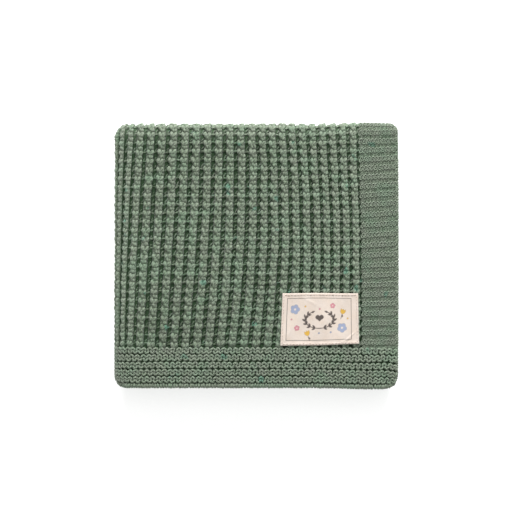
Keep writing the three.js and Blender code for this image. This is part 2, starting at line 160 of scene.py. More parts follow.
def path_frame(s):
    """Point and outward normal of the stack's middle at s: straight along the three passes, a half
    circle around each fold."""
    middle, right, bottom, left, top = STRETCH_STARTS[:5]
    right_angle = math.pi / 2 - (s - right) / RIGHT_FOLD_R
    left_angle = -math.pi / 2 - (s - left) / LEFT_FOLD_R
    where = [s <= right, s <= bottom, s <= left, s <= top]
    x = np.select(
        where,
        [
            TUCKED_END + s - middle,
            RIGHT_FOLD_X + RIGHT_FOLD_R * np.cos(right_angle),
            RIGHT_FOLD_X - (s - bottom),
            LEFT_FOLD_X + LEFT_FOLD_R * np.cos(left_angle),
        ],
        LEFT_FOLD_X + s - top,
    )
    z = np.select(
        where,
        [
            np.full_like(s, Z_MIDDLE),
            Z_BOTTOM + RIGHT_FOLD_R * (1 + np.sin(right_angle)),
            np.full_like(s, Z_BOTTOM),
            Z_BOTTOM + LEFT_FOLD_R * (1 + np.sin(left_angle)),
        ],
        Z_TOP,
    )
    zero = np.zeros_like(s)
    nx = np.select(where, [zero, np.cos(right_angle), zero, np.cos(left_angle)], 0.0)
    nz = np.select(where, [zero + 1, np.sin(right_angle), zero - 1, np.sin(left_angle)], 1.0)
    return x, z, nx, nz


def position_of(distance):
    """Path position at a distance along the outer face from the free end."""
    return np.interp(distance, OUTER_AT_STARTS[::-1], STRETCH_STARTS[::-1])


def smooth(t):
    """0 to 1 with a soft start and end: 3t^2 - 2t^3."""
    t = np.clip(t, 0, 1)
    return t * t * (3 - 2 * t)


def in_plan(x, y):
    """Squircle corners, where a point at shares a and b of the corner square goes to a sqrt(1 - b^2/2)
    and b sqrt(1 - a^2/2), and a slight bow of each edge."""
    sx, sy = np.where(x > 0, 1.0, -1.0), np.where(y > 0, 1.0, -1.0)
    radius = np.select(
        [(sx > 0) & (sy > 0), (sx > 0) & (sy < 0), (sx < 0) & (sy > 0)],
        [CORNERS["back_right"], CORNERS["front_right"], CORNERS["back_left"]],
        CORNERS["front_left"],
    )
    corner_x = np.where(sx > 0, RIGHT, LEFT) - sx * radius
    corner_y = np.where(sy > 0, BACK, FRONT) - sy * radius
    a = np.maximum(0, (x - corner_x) * sx / radius)
    b = np.maximum(0, (y - corner_y) * sy / radius)
    round_x = corner_x + sx * radius * a * np.sqrt(np.maximum(0, 1 - b * b / 2))
    round_y = corner_y + sy * radius * b * np.sqrt(np.maximum(0, 1 - a * a / 2))
    px, py = np.where(a > 0, round_x, x), np.where(b > 0, round_y, y)
    bow_x = RIGHT_BOW * np.clip(x / RIGHT, 0, 1) * (1 - (y / BACK) ** 2)
    bump = [size * y / BACK * np.exp(-(((x - at) / width) ** 2)) for size, at, width in (BACK_BOW, FRONT_BOW)]
    return px + bow_x, py + np.where(y > 0, bump[0], bump[1])


def height_share(x, y):
    """Soft unevenness: two sine swells, and a small drop towards the free right and front edges."""
    share = 1 + sum(size * np.sin(kx * x + ky * y + shift) for size, kx, ky, shift in SWELLS)
    near_right = smooth(1 - (RIGHT - x) / DROP_WIDTH)
    near_front = smooth(1 - (y - FRONT) / DROP_WIDTH)
    return share - RIGHT_DROP * near_right - FRONT_DROP * near_front - CORNER_DROP * near_right * near_front


def lay(s, y, h):
    """The folded place, in metres, of s along the path, y across it and h out of the stack's middle."""
    s, y, h = np.broadcast_arrays(np.asarray(s, float), np.asarray(y, float), np.asarray(h, float))
    x, z, nx, nz = path_frame(s)
    x, z = x + nx * h, z + nz * h
    px, py = in_plan(x, y)
    return np.stack((px, py, z * height_share(x, y)), -1) * MM


# The turn from one layer to the next is half an ellipse. This gives its angle by the length along its
# outer side.
TURN_POINTS = 49
TURN_ANGLES = np.linspace(0, math.pi, TURN_POINTS)
TURN_STEPS = np.hypot(np.diff(NOSE * np.sin(TURN_ANGLES)), np.diff(NOSE_HEIGHT * np.cos(TURN_ANGLES)))
TURN_LENGTHS = np.concatenate(([0], np.cumsum(TURN_STEPS)))
TURN_LENGTH = TURN_LENGTHS[-1]
FACE_END = FLAT_END + TURN_LENGTH
MIDDLE_REACH, MIDDLE_HEIGHT = NOSE - HALF_CLOTH, LAYER / 2


def turn_angle(length):
    return np.interp(length, TURN_LENGTHS, TURN_ANGLES)


# The pressed part runs a little past both ends of the lower pass, and starts softly (mm)
PRESSED_LEFT, PRESSED_RIGHT, PRESSED_START = 14, 10, 14


def settled(distance):
    """Knitting lies flatter where the blanket rests on it: how far it is pressed in, in mm."""
    into_left = distance - LEFT_FOLD_OUTER[1] + PRESSED_LEFT
    into_right = RIGHT_FOLD_OUTER[0] + PRESSED_RIGHT - distance
    return CREST * smooth(np.minimum(into_left, into_right) / PRESSED_START)


def face(distance, v, off):
    """A place on the outer face: flat to the back turn, then around it on an ellipse that off widens."""
    off = off - settled(distance)
    angle = turn_angle(v - FLAT_END)
    y = FRONT + np.minimum(v, FLAT_END) + (MIDDLE_REACH + off) * np.sin(angle)
    return lay(position_of(distance), y, MIDDLE_HEIGHT + (MIDDLE_HEIGHT + off) * np.cos(angle))


def reverse_turn(distance, u, off):
    """A place on the outer side of the front turn, where the other face of the cloth shows. u is the
    length down the turn, and before 0 or past its end the place runs back between the layers."""
    angle = turn_angle(u)
    past = np.maximum(-u, 0) + np.maximum(u - TURN_LENGTH, 0)
    y = FRONT_TURN_Y + past - (MIDDLE_REACH + off) * np.sin(angle)
    return lay(position_of(distance), y, -MIDDLE_HEIGHT + (MIDDLE_HEIGHT + off) * np.cos(angle))


def lip(q):
    """Angle and run-out of a length q over a rounded free edge: 0 to pi around it, then straight."""
    angle = np.clip(q / HALF_CLOTH, 0, math.pi)
    return angle, np.maximum(-q, 0) + np.maximum(q - HALF_CLOTH * math.pi, 0)


def front_edge(distance, q, off):
    """A place around the front free edge of the outer layer, off from the middle of the cloth."""
    angle, past = lip(q)
    y = FRONT + HALF_CLOTH + past - off * np.sin(angle)
    return lay(position_of(distance), y, LAYER + off * np.cos(angle))


def back_edge(distance, q, off):
    """A place around the back free edge of the inmost layer, off from the middle of the cloth."""
    angle, past = lip(q)
    y = BACK_EDGE_Y - HALF_CLOTH - past + off * np.sin(angle)
    return lay(position_of(distance), y, -LAYER + off * np.cos(angle))


SECTION_TURN_POINTS = 33


def section_lengths():
    """Lengths along the middle of the three layers and their two turns, seen from the right end."""
    angles = np.linspace(0, math.pi, SECTION_TURN_POINTS)
    turn = np.hypot(np.diff(MIDDLE_REACH * np.sin(angles)), np.diff(MIDDLE_HEIGHT * np.cos(angles))).sum()
    flats = (BACK_TURN_Y - FRONT, BACK_TURN_Y - FRONT_TURN_Y, BACK_EDGE_Y - FRONT_TURN_Y)
    return flats[0], turn, flats[1], turn, flats[2]


SECTION_STARTS = np.concatenate(([0], np.cumsum(section_lengths())))


def section(run, off):
    """y and height of a length run along the folded section, off from the middle of the cloth: along
    the outer layer, down the back turn, along the middle layer, down the front turn, along the inmost."""
    _, back, b, front, c, _ = SECTION_STARTS
    back_angle = (run - back) / (b - back) * math.pi
    front_angle = (run - front) / (c - front) * math.pi
    where = [run < back, run < b, run < front, run < c]
    y = np.select(
        where,
        [
            FRONT + run,
            BACK_TURN_Y + (MIDDLE_REACH + off) * np.sin(back_angle),
            BACK_TURN_Y - (run - b),
            FRONT_TURN_Y - (MIDDLE_REACH - off) * np.sin(front_angle),
        ],
        FRONT_TURN_Y + run - c,
    )
    h = np.select(
        where,
        [
            LAYER + off,
            MIDDLE_HEIGHT + (MIDDLE_HEIGHT + off) * np.cos(back_angle),
            -off,
            -MIDDLE_HEIGHT + (MIDDLE_HEIGHT - off) * np.cos(front_angle),
        ],
        -LAYER + off,
    )
    return y, h


def right_selvedge(run, q, off):
    """A place around the free end on the right, run along the section and q over the edge."""
    angle, past = lip(q)
    y, h = section(run, off * np.cos(angle))
    return lay(PATH_END - HALF_CLOTH - past + off * np.sin(angle), y, h)


def across_y(line, y):
    """The parabola through a groove's three places, at y."""
    p, q, r = RIB_PLACES_Y
    back, middle, front = line
    return (
        back * (y - q) * (y - r) / ((p - q) * (p - r))
        + middle * (y - p) * (y - r) / ((q - p) * (q - r))
        + front * (y - p) * (y - q) / ((r - p) * (r - q))
    )


def rib_line(rib, y):
    """Distance from the free end to a groove: linear between the tabled ribs, a parabola across y."""
    rib, y = np.broadcast_arrays(np.asarray(rib, float), np.asarray(y, float))
    lines = np.stack([np.interp(rib, RIB_LINES[:, 0], RIB_LINES[:, k]) for k in (1, 2, 3)])
    return across_y(lines, y)


# ---- tubes of yarn ----


# How unevenly stitches are knitted, as the spread of each: place across, along and in height (mm),
# thickness (share) and tone
Spread = namedtuple("Spread", "across along height size tone", defaults=(0.0, 0.0, 1.0))
# The map of each tube starts anywhere in this length (mm), so that the twist and plies differ
MAP_START = 20
TINY = 1e-12


class Yarn:
    """Tubes of yarn gathered into one mesh, with their own UV map (around, length in mm) and tone."""

    def __init__(self, seed):
        self.random = np.random.default_rng(seed)
        self.places, self.corners, self.sizes, self.uvs, self.tones = [], [], [], [], []
        self.count = 0

    def add(self, centres, out, radius, sides, flat, tone=None):
        """Sweeps an ellipse along each row of centres: its short axis, flat times the radius, points
        out, and its long axis is the cross product of the way and out. Closed by a cap at each end."""
        n, rings = centres.shape[:2]
        way = np.gradient(centres, axis=1)
        way /= np.linalg.norm(way, axis=2, keepdims=True) + TINY
        side = np.cross(way, out - centres)
        side /= np.linalg.norm(side, axis=2, keepdims=True) + TINY
        up = np.cross(side, way)
        turn = np.arange(sides) * 2 * math.pi / sides
        radius = np.broadcast_to(radius, (n, rings))[..., None, None] * MM
        ring = side[:, :, None] * np.cos(turn)[:, None] + up[:, :, None] * flat * np.sin(turn)[:, None]
        places = centres[:, :, None] + radius * ring
        index = (self.count + np.arange(n * rings * sides)).reshape(n, rings, sides)
        after = np.roll(index, -1, axis=2)
        quads = np.stack((index[:, :-1], after[:, :-1], after[:, 1:], index[:, 1:]), -1)
        step = np.linalg.norm(np.diff(centres, axis=1), axis=2) / MM
        length = np.concatenate((np.zeros((n, 1)), np.cumsum(step, 1)), 1)
        length += self.random.uniform(0, MAP_START, (n, 1))
        u = np.arange(sides + 1) / sides
        low = np.broadcast_to(length[:, :-1, None], quads.shape[:3])
        high = np.broadcast_to(length[:, 1:, None], quads.shape[:3])
        left, right = (np.broadcast_to(e, quads.shape[:3]) for e in (u[:-1], u[1:]))
        quad_uv = np.stack((left, right, right, left, low, low, high, high), -1)
        quad_uv = quad_uv.reshape(*quads.shape[:3], 2, 4).swapaxes(-1, -2)
        caps = np.concatenate((index[:, 0, ::-1], index[:, -1]))
        cap_uv = np.zeros((*caps.shape, 2)) + 0.5
        tone = self.random.normal(0, 1, n) if tone is None else tone
        self.places.append(places.reshape(-1, 3))
        self.tones.append(np.repeat(tone, rings * sides))
        self.corners += [quads.reshape(-1), caps.reshape(-1)]
        self.sizes += [np.full(quads.size // 4, 4), np.full(len(caps), sides)]
        self.uvs += [quad_uv.reshape(-1, 2), cap_uv.reshape(-1, 2)]
        self.count += n * rings * sides

    def build(self, name, material="combed_cotton_yarn"):
        arrays = (self.places, self.corners, self.sizes, self.uvs, self.tones)
        places, corners, sizes, uvs, tones = (np.concatenate(parts) for parts in arrays)
        return new_piece(name, places, corners, sizes, material, uvs, tones)


def new_piece(name, places, corners, sizes, material, uv=None, tone=None):
    """A mesh object from whole arrays: places, the corners of all faces in a row, and each face's size."""
    mesh = bpy.data.meshes.new(name)
    mesh.vertices.add(len(places))
    mesh.vertices.foreach_set("co", np.asarray(places, np.float32).ravel())
    mesh.loops.add(len(corners))
    mesh.loops.foreach_set("vertex_index", np.asarray(corners, np.int32))
    mesh.polygons.add(len(sizes))
    starts = np.concatenate(([0], np.cumsum(sizes)[:-1])).astype(np.int32)
    mesh.polygons.foreach_set("loop_start", starts)
    mesh.polygons.foreach_set("use_smooth", np.ones(len(sizes), bool))
    if uv is not None:
        mesh.uv_layers.new(name="yarn").data.foreach_set("uv", np.asarray(uv, np.float32).ravel())
    if tone is not None:
        mesh.attributes.new("tone", "FLOAT", "POINT").data.foreach_set("value", np.asarray(tone, np.float32))
    mesh.update(calc_edges=True)
    mesh.materials.append(shared_material(material))
    piece = bpy.data.objects.new(name, mesh)
    bpy.context.scene.collection.objects.link(piece)
    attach(piece, "root")
    return piece


def drift(random, shape, steps):
    """Smooth random unevenness over a grid: white noise on a coarse grid of steps cells, stretched to
    shape by linear interpolation along both axes."""
    coarse = random.normal(0, 1, (steps[0] + 1, steps[1] + 1))
    rows = np.linspace(0, steps[0], shape[0])
    columns = np.linspace(0, steps[1], shape[1])
    along = np.stack([np.interp(rows, np.arange(steps[0] + 1), coarse[:, k]) for k in range(steps[1] + 1)], 1)
    return np.stack([np.interp(columns, np.arange(steps[1] + 1), one) for one in along])


# Stitches (mm): across to the right, along to the back, height over the middle of the layer, radius.
# A unit is a wide stitch with its left shoulder out, and behind it a narrow one that leans to the right.
WIDE_LEFT = np.array(
    [
        (-1.0, -1.2, 1.1, 1.2),
        (-1.6, 0.0, 1.75, 1.7),
        (-2.2, 1.3, 2.05, 2.0),
        (-2.55, 2.7, 2.05, 2.0),
        (-2.65, 4.1, 1.4, 1.75),
        (-2.3, 5.3, 0.1, 1.2),
    ]
)
WIDE_RIGHT = np.array(
    [
        (0.9, -1.2, 1.0, 1.2),
        (1.1, 0.0, 1.7, 1.65),
        (1.4, 1.3, 2.05, 1.9),
        (1.65, 2.7, 2.1, 1.9),
        (1.7, 4.1, 1.5, 1.7),
        (1.5, 5.3, 0.3, 1.2),
    ]
)
NARROW_LEFT = np.array(
    [
        (0.2, 4.5, 0.3, 0.9),
        (0.1, 5.6, 1.6, 1.25),
        (-0.2, 6.8, 1.9, 1.5),
        (-0.8, 8.1, 1.8, 1.6),
        (-1.6, 9.5, 1.0, 1.4),
    ]
)
NARROW_RIGHT = np.array(
    [
        (1.6, 4.3, 0.5, 0.9),
        (1.7, 5.4, 1.7, 1.25),
        (1.7, 6.7, 2.05, 1.5),
        (1.5, 8.1, 1.9, 1.5),
        (1.2, 9.5, 0.8, 1.2),
    ]
)
# Painted shade: stitches deep in the valleys, and the strands inside the ribs, are given a darker tone
PURL_PAINTED_SHADE = -8.5
CORE_PAINTED_SHADE = -3.0
# In the valley, from its middle: a low bump from rib to rib, and a thin strand that climbs from it
PURL_BUMP = np.array(
    [
        (-2.6, 1.6, -1.2, 1.1),
        (-1.5, 2.5, -0.3, 1.35),
        (-0.1, 2.9, -0.05, 1.4),
        (1.3, 2.6, -0.3, 1.35),
        (2.4, 1.8, -1.2, 1.1),
    ]
)
CLIMBING_STRAND = np.array(
    [
        (-1.2, 3.4, -0.2, 0.7),
        (-0.5, 4.9, 0.2, 0.8),
        (0.6, 6.5, 0.1, 0.8),
        (1.8, 8.0, -0.7, 0.7),
    ]
)
# One strand over a free edge: across, length over the edge, off the middle of the cloth, radius
EDGE_BAR = np.array(
    [
        (0.3, -2.5, 0.5, 1.1),
        (0.15, -1.6, 1.3, 1.5),
        (0.0, 0.4, 1.5, 1.7),
        (0.0, 4.1, 1.55, 1.7),
        (0.0, 7.8, 1.5, 1.6),
        (0.15, 9.8, 1.3, 1.35),
        (0.3, 10.7, 0.5, 1.0),
    ]
)
# The same over the right free end, where the rows of the side border hide its start
SELVEDGE_BAR = np.array(
    [
        (0.2, -0.6, 0.0, 0.8),
        (0.1, 0.6, 1.1, 1.15),
        (0.0, 2.4, 1.5, 1.3),
        (0.0, 4.1, 1.6, 1.35),
        (0.0, 6.0, 1.5, 1.35),
        (0.1, 8.2, 1.2, 1.2),
        (0.2, 9.4, 0.2, 0.9),
    ]
)


def loop(*half):
    """A loop from the rings of its left half, of which the last is its middle: they are mirrored."""
    left = np.array(half)
    return np.concatenate((left, left[-2::-1] * (-1, 1, 1, 1)))


# One loop of the bottom border, and half of a stitch of the right border, finer
HEAD_LOOP = loop(
    (-1.8, -0.35, 1.75, 1.05),
    (-1.95, 0.5, 2.1, 1.22),
    (-1.45, 1.85, 2.25, 1.3),
    (0.0, 2.6, 2.1, 1.32),
)
SIDE_LOOP = loop(
    (-0.4, -0.1, 2.3, 0.7),
    (-1.25, 0.6, 2.5, 0.7),
    (-1.2, 1.9, 2.55, 0.74),
    (0.0, 2.75, 2.5, 0.8),
)
# A leaning leg in the recess between two ridges of the side border
SIDE_LEG = np.array(
    [
        (-0.6, 5.9, 0.8, 0.8),
        (-0.25, 7.3, 1.1, 1.0),
        (0.2, 8.9, 1.2, 1.05),
        (0.6, 10.4, 1.6, 1.0),
        (0.8, 11.5, 1.55, 0.85),
    ]
)


def place_stitches(template, across, along):
    """A template's rings at each of many places: two arrays of the same shape give where it goes."""
    return across[..., None] + template[:, 0], along[..., None] + template[:, 1]


def nudges(random, spread, shape):
    """Random moves across and along, for each of many stitches."""
    across, along = random.normal(0, 1, (2, *shape))
    return spread.across * across, spread.along * along


def spaced(start, end, pitch, before=0):
    """Middles of a whole number of stitches from start to end, about a pitch apart, and of some before."""
    count = int(round((end - start) / pitch))
    return start + (np.arange(-before, count) + 0.5) * (end - start) / count


def sizes():
    return bpy.context.scene.blanket_sizes


def in_mm(name):
    """One of the lengths a user may change, in millimetres."""
    return getattr(sizes(), name) / MM


def colours():
    return bpy.context.scene.blanket_colours


# How far out a second place is taken, to learn which way is out (mm)
OUT_STEP = 0.5


def knit(yarn, mapping, distance, v, off, radius, sides, flat, tone=None):
    """Lays tubes on the folded cloth: distance, v, off and radius are stretched to one shape, whose last
    axis is the rings of a tube. There is one tone for each tube, or a random one."""
    arrays = np.broadcast_arrays(distance, v, off, radius)
    distance, v, off, radius = (np.asarray(e, float).reshape(-1, e.shape[-1]) for e in arrays)
    centres = mapping(distance, v, off)
    out = mapping(distance, v, off + OUT_STEP)
    tone = tone if tone is None else np.ravel(tone)
    yarn.add(centres, out, radius * sizes().yarn_fullness, sides, flat, tone)


# How flat the stitches lie: their thickness as a share of their width
RIB_FLATNESS, PURL_FLATNESS, LOOP_FLATNESS, BAR_FLATNESS = 0.78, 0.9, 0.85, 0.8
# Where the first unit of two stitches starts, and how many units a rib has
FIRST_UNIT_V = 44.3
UNITS = 27
RIBS = 79
# Ribs by number from the right free end: where the left half of the top starts, the left fold, the
# underside, the right fold and the tucked pass, and the end of the ribs that show there
LEFT_HALF_RIB, LEFT_FOLD_RIB, UNDER_RIB, RIGHT_FOLD_RIB, TUCKED_RIB, TUCKED_RIB_END = 11, 21, 29, 49, 55, 78
# The width of a rib that the stitches are drawn for
RIB_WIDTH = 11.7
# Of the tucked pass only the back turn shows, from this unit on
BACK_TURN_UNIT = 23
# Each rib wanders a little sideways, and its stitches run a little ahead of those beside it or behind
# (mm). Both change over a coarse grid of ribs and units.
SIDE_WANDER, AHEAD_WANDER = 0.5, 1.0
SIDE_WANDER_GRID, AHEAD_WANDER_GRID = (40, 9), (27, 6)
WANDER_RANDOM = np.random.default_rng(40)
RIB_WANDER = SIDE_WANDER * drift(WANDER_RANDOM, (RIBS, UNITS), SIDE_WANDER_GRID)
RIB_AHEAD = AHEAD_WANDER * drift(WANDER_RANDOM, (RIBS, UNITS), AHEAD_WANDER_GRID)


def unit_rows(first):
    """v of the units' origins from the first on, and y of their middles."""
    unit = in_mm("rib_unit")
    v = FIRST_UNIT_V + unit * np.arange(first, UNITS)
    return v, np.minimum(FRONT + v + unit / 2, BACK_TURN_Y)


def rib_units(ribs, first):
    """Places of the rib stitches: rib centre at each unit, v of each unit's origin, and their width."""
    v, y = unit_rows(first)
    rib, y = np.meshgrid(ribs, y, indexing="ij")
    near, far = rib_line(rib, y), rib_line(rib + 1, y)
    return (near + far) / 2, np.broadcast_to(v, rib.shape), (far - near) / RIB_WIDTH


# How unevenly the ribs are knitted, how much the tone drifts over the rows, and over how many of them
RIB_SPREAD = Spread(0.24, 0.24, 0.1, 0.07, 1.1)
ROW_TONE, ROW_TONE_STEPS = 0.5, 13
# Where the ribs narrow into the left fold (mm), and how much narrower and thinner its stitches are there
FOLD_BEFORE, FOLD_START = 6, 20
WIDE_ON_FOLD, NARROW_ON_FOLD = (0.3, 0.22), (0.05, 0.12)
# The rings of a stitch that stay where it is drawn coarsely
COARSE_RINGS = [0, 2, 3, -1]


def rib_stitches(name, ribs, seed, sides=(8, 7), first=0, coarse=False):
    """Two stitches for each unit of a rib, a wide one and a narrow one. Each has two arms that lean out
    from the middle of the rib, swell, and dive under the next stitch. Units before the first are left
    out, and coarse arms have four rings each."""
    yarn = Yarn(seed)
    centre, v, width = rib_units(ribs, first)
    random = yarn.random
    centre = centre + RIB_WANDER[ribs, first:]
    v = v + RIB_AHEAD[ribs, first:]
    row_tone = ROW_TONE * drift(random, centre.shape, (max(2, len(ribs)), ROW_TONE_STEPS))
    # Painted light and shade of the place, added to the random tone of the rows
    row_tone = row_tone + painted_light_and_shade_of_place(centre, v)
    on_fold = smooth((centre - LEFT_FOLD_OUTER[0] + FOLD_BEFORE) / FOLD_START)
    stitches = (
        (WIDE_LEFT, sides[0], WIDE_ON_FOLD),
        (WIDE_RIGHT, sides[0], WIDE_ON_FOLD),
        (NARROW_LEFT, sides[1], NARROW_ON_FOLD),
        (NARROW_RIGHT, sides[1], NARROW_ON_FOLD),
    )
    for template, side_count, (narrower, thinner) in stitches:
        if coarse:
            template = template[COARSE_RINGS]
        aside, ahead = nudges(random, RIB_SPREAD, centre.shape)
        a, w = place_stitches(template, aside, v + ahead)
        off = template[:, 2] + random.normal(0, RIB_SPREAD.height, centre.shape)[..., None]
        a = a * (width * (1 - narrower * on_fold))[..., None]
        share = 1 - thinner * on_fold + random.normal(0, RIB_SPREAD.size, centre.shape)
        radius = share[..., None] * template[:, 3]
        tone = row_tone + random.normal(0, RIB_SPREAD.tone, centre.shape)
        knit(yarn, face, centre[..., None] - a, w, off, radius, side_count, RIB_FLATNESS, tone)
    return yarn.build(name)


# Painted light and shade: how much paler or darker places are painted, and how wide the bands are over which
# it changes (mm)
BACK_PALER, RIGHT_PALER, LEFT_PALER, FRONT_LEFT_DARKER = 10.0, 1.2, 3.5, 1.8
BACK_BAND, RIGHT_BAND = 9, 100
LEFT_BEFORE, LEFT_BAND, LEFT_END_BAND = 10, 25, 20
FRONT_LEFT_FROM, FRONT_LEFT_BAND, FRONT_LEFT_TO, FRONT_LEFT_END_BAND = 130, 150, 130, 110


def painted_light_and_shade_of_place(distance, v):
    """Painted light and shade: stitches are painted paler over the back turn, on the left fold and beside the
    right border, and darker at the front left."""
    back = BACK_PALER * smooth((v - FLAT_END + BACK_BAND) / BACK_BAND)
    right = RIGHT_PALER * smooth(1 - distance / RIGHT_BAND)
    left = LEFT_PALER * smooth((distance - LEFT_FOLD_OUTER[0] + LEFT_BEFORE) / LEFT_BAND)
    left = left * smooth((LEFT_FOLD_OUTER[1] - distance) / LEFT_END_BAND)
    front_left = FRONT_LEFT_DARKER * smooth((distance - FRONT_LEFT_FROM) / FRONT_LEFT_BAND)
    front_left = front_left * smooth((FRONT_LEFT_TO - v) / FRONT_LEFT_END_BAND)
    return back + right + left - front_left


# The strand in a rib: place beside its middle, height and radius (mm), flatness, rings and sides, how far
# it stays inside both ends, and how much thinner and paler it is on a fold, where it gets less painted shade
CORE_PLACE, CORE_HEIGHT, CORE_RADIUS, CORE_FLATNESS = -0.35, 0.45, 3.7, 0.42
CORE_RINGS, CORE_SIDES, CORE_INSET = 70, 8, 1
CORE_THINNER, CORE_PALER = 0.2, 0.5


def rib_cores(name, ribs, seed):
    """The filled inside of each rib, seen between its stitches: one flat soft strand along the rib, darkened
    as painted shade.
    """
    yarn = Yarn(seed)
    v = np.linspace(BORDER - CORE_INSET, FACE_END - CORE_INSET, CORE_RINGS)
    rib, along = np.meshgrid(ribs, v, indexing="ij")
    y = np.minimum(FRONT + along, BACK_TURN_Y)
    near, far = rib_line(rib, y), rib_line(rib + 1, y)
    width = (far - near) / RIB_WIDTH
    centre = (near + far) / 2 - CORE_PLACE * width
    on_fold = rib >= LEFT_FOLD_RIB
    radius = CORE_RADIUS * width * (1 - CORE_THINNER * on_fold)
    tone = CORE_PAINTED_SHADE + CORE_PALER * on_fold[:, 0]
    knit(yarn, face, centre, along, CORE_HEIGHT, radius, CORE_SIDES, CORE_FLATNESS, tone)
    return yarn.build(name)


PURL_SPREAD = Spread(0.35, 0.35, 0.12, 0, 1.5)
PURL_SIDES = 6
# The bumps and strands in the valleys slant, on average and with this spread
PURL_SLANT, PURL_SLANT_SPREAD = 0.25, 0.2
# The valleys are shallower around the back turn, and deeper towards the left fold (mm)
TURN_LIFT, TURN_LIFT_BEFORE, TURN_LIFT_BAND = 0.7, 3, 9
LEFT_SINK, LEFT_SINK_BAND = 0.6, 50
# How much more than a rib a valley follows the painted light and shade of its place
PURL_PAINTED_LIGHT_SHARE = 2


def purl_valleys(name, ribs, seed, first=0):
    """In the groove on the right of each rib, at each unit: a low bump and a thin strand above it."""
    yarn = Yarn(seed)
    random = yarn.random
    v, y = unit_rows(first)
    rib, y = np.meshgrid(ribs, y, indexing="ij")
    groove = rib_line(rib, y)
    v = v + RIB_AHEAD[ribs, first:]
    sink = smooth((groove[..., None] - LEFT_FOLD_OUTER[0] + LEFT_SINK_BAND) / LEFT_SINK_BAND)
    for template in (PURL_BUMP, CLIMBING_STRAND):
        aside, ahead = nudges(random, PURL_SPREAD, groove.shape)
        a, w = place_stitches(template, aside, v + ahead)
        slant = random.normal(PURL_SLANT, PURL_SLANT_SPREAD, groove.shape)[..., None]
        w = w + slant * (a - aside[..., None])
        off = template[:, 2] + random.normal(0, PURL_SPREAD.height, groove.shape)[..., None]
        off = off + TURN_LIFT * smooth((w - FLAT_END + TURN_LIFT_BEFORE) / TURN_LIFT_BAND)
        off = off - LEFT_SINK * sink
        # Painted shade: the valley stitches get a dark tone, plus twice the painted light and shade of their
        # place
        tone = random.normal(PURL_PAINTED_SHADE, PURL_SPREAD.tone, groove.shape)
        tone = tone + PURL_PAINTED_LIGHT_SHARE * painted_light_and_shade_of_place(groove, v)
        knit(yarn, face, groove[..., None] - a, w, off, template[:, 3], PURL_SIDES, PURL_FLATNESS, tone)
    return yarn.build(name)


BORDER_SPREAD = Spread(0.2, 0.14, size=0.06)
# Each row of the bottom border wanders to the front and back (mm), over this many stitches
ROW_WANDER, WANDER_STITCHES = 0.22, 6
# Near the right free edge its rows bend to the front, and the frontmost bend most
CORNER_BEND, CORNER_BEND_WIDTH, CORNER_BEND_DEPTH = 4.5, 17, 60
BORDER_LEAN = 0.12
# The height of a ridge that its loops are drawn for
RIDGE_HEIGHT = 7.1
# Painted light: the loops of the bottom border are given a paler tone
BORDER_PAINTED_LIGHT = 2.4
# Loops nearer than this to the free end are drawn together, to this share of their distance
ROW_END, ROW_END_SHARE = 3.0, 0.3


def border_ridges(name, distances, seed, sides=6):
    """Five ridges of garter rows: loops that arch to the back, and between them, half a stitch on,
    loops that arch to the front, so that their feet interlock."""
    yarn = Yarn(seed)
    random = yarn.random
    stitch = in_mm("border_stitch")
    across = spaced(*distances, stitch, before=1)
    count = len(across)
    for low, high in zip(BORDER_GROOVES[:-1], BORDER_GROOVES[1:]):
        middle, stretch = (low + high) / 2, (high - low) / RIDGE_HEIGHT
        bend = CORNER_BEND * (1 - low / CORNER_BEND_DEPTH)
        wander = ROW_WANDER * drift(random, (1, count), (1, max(2, count // WANDER_STITCHES)))[0]
        shift = random.uniform(0, stitch)
        for arch in (1, -1):
            place = across + shift + (stitch / 2 if arch < 0 else 0)
            place = place + random.normal(0, BORDER_SPREAD.across, count)
            along = middle + wander + random.normal(0, BORDER_SPREAD.along, count)
            a = place[:, None] - HEAD_LOOP[:, 0] * (1 + random.normal(0, BORDER_SPREAD.size, (count, 1)))
            a = a - BORDER_LEAN * arch * HEAD_LOOP[:, 1]
            a = np.where(a < ROW_END, ROW_END - ROW_END_SHARE * (ROW_END - a), a)
            w = along[:, None] + arch * HEAD_LOOP[:, 1] * stretch
            w = w - bend * np.clip(1 - a / CORNER_BEND_WIDTH, 0, 1) ** 2
            keep = (a.max(1) <= distances[1] + stitch) & (place > distances[0])
            tone = BORDER_PAINTED_LIGHT + random.normal(0, BORDER_SPREAD.tone, keep.sum())
            knit(yarn, face, a[keep], w[keep], *HEAD_LOOP.T[2:], sides, LOOP_FLATNESS, tone)
    return yarn.build(name)


# The right border starts this far from the free end, and ends this far past the first rib's groove (mm)
SIDE_START, SIDE_SEAM = 2.4, -0.3
# Its loops lean, and its rows climb to the back towards the free end, most in the farther half (mm for 1 mm)
SIDE_LEAN = 0.42
SIDE_CLIMB, SIDE_CLIMB_POWER = 0.085, 1.5
# The height of a row that its stitches are drawn for, and where in it the two rings of a stitch meet (mm)
SIDE_ROW_HEIGHT = 9.8
SIDE_LOOP_PLACE = 3.9
# The legs stand at these shares of a stitch from its middle, and are narrower than drawn
LEG_SHARES, LEG_WIDTH = (-0.25, 0.25), 0.8
SIDE_SIDES = 6
SIDE_LOOP_SPREAD, SIDE_LEG_SPREAD = Spread(0.15, 0.12), Spread(0.12, 0.1)
# Painted light: the side border's loops are given a much paler tone, and the legs in the recess between the
# ridges a less pale one, so they read as in painted shade against the loops
SIDE_LOOP_PAINTED_LIGHT, SIDE_LEG_PAINTED_LIGHT = 10.5, 2.6


def side_row_v(row):
    """v of the groove at the front of a row: linear between the measured rows, and before the first."""
    first, second = SIDE_ROWS[:2]
    step = (second[1] - first[1]) / (second[0] - first[0])
    return np.interp(row, SIDE_ROWS[:, 0], SIDE_ROWS[:, 1]) + step * np.minimum(row, 0)


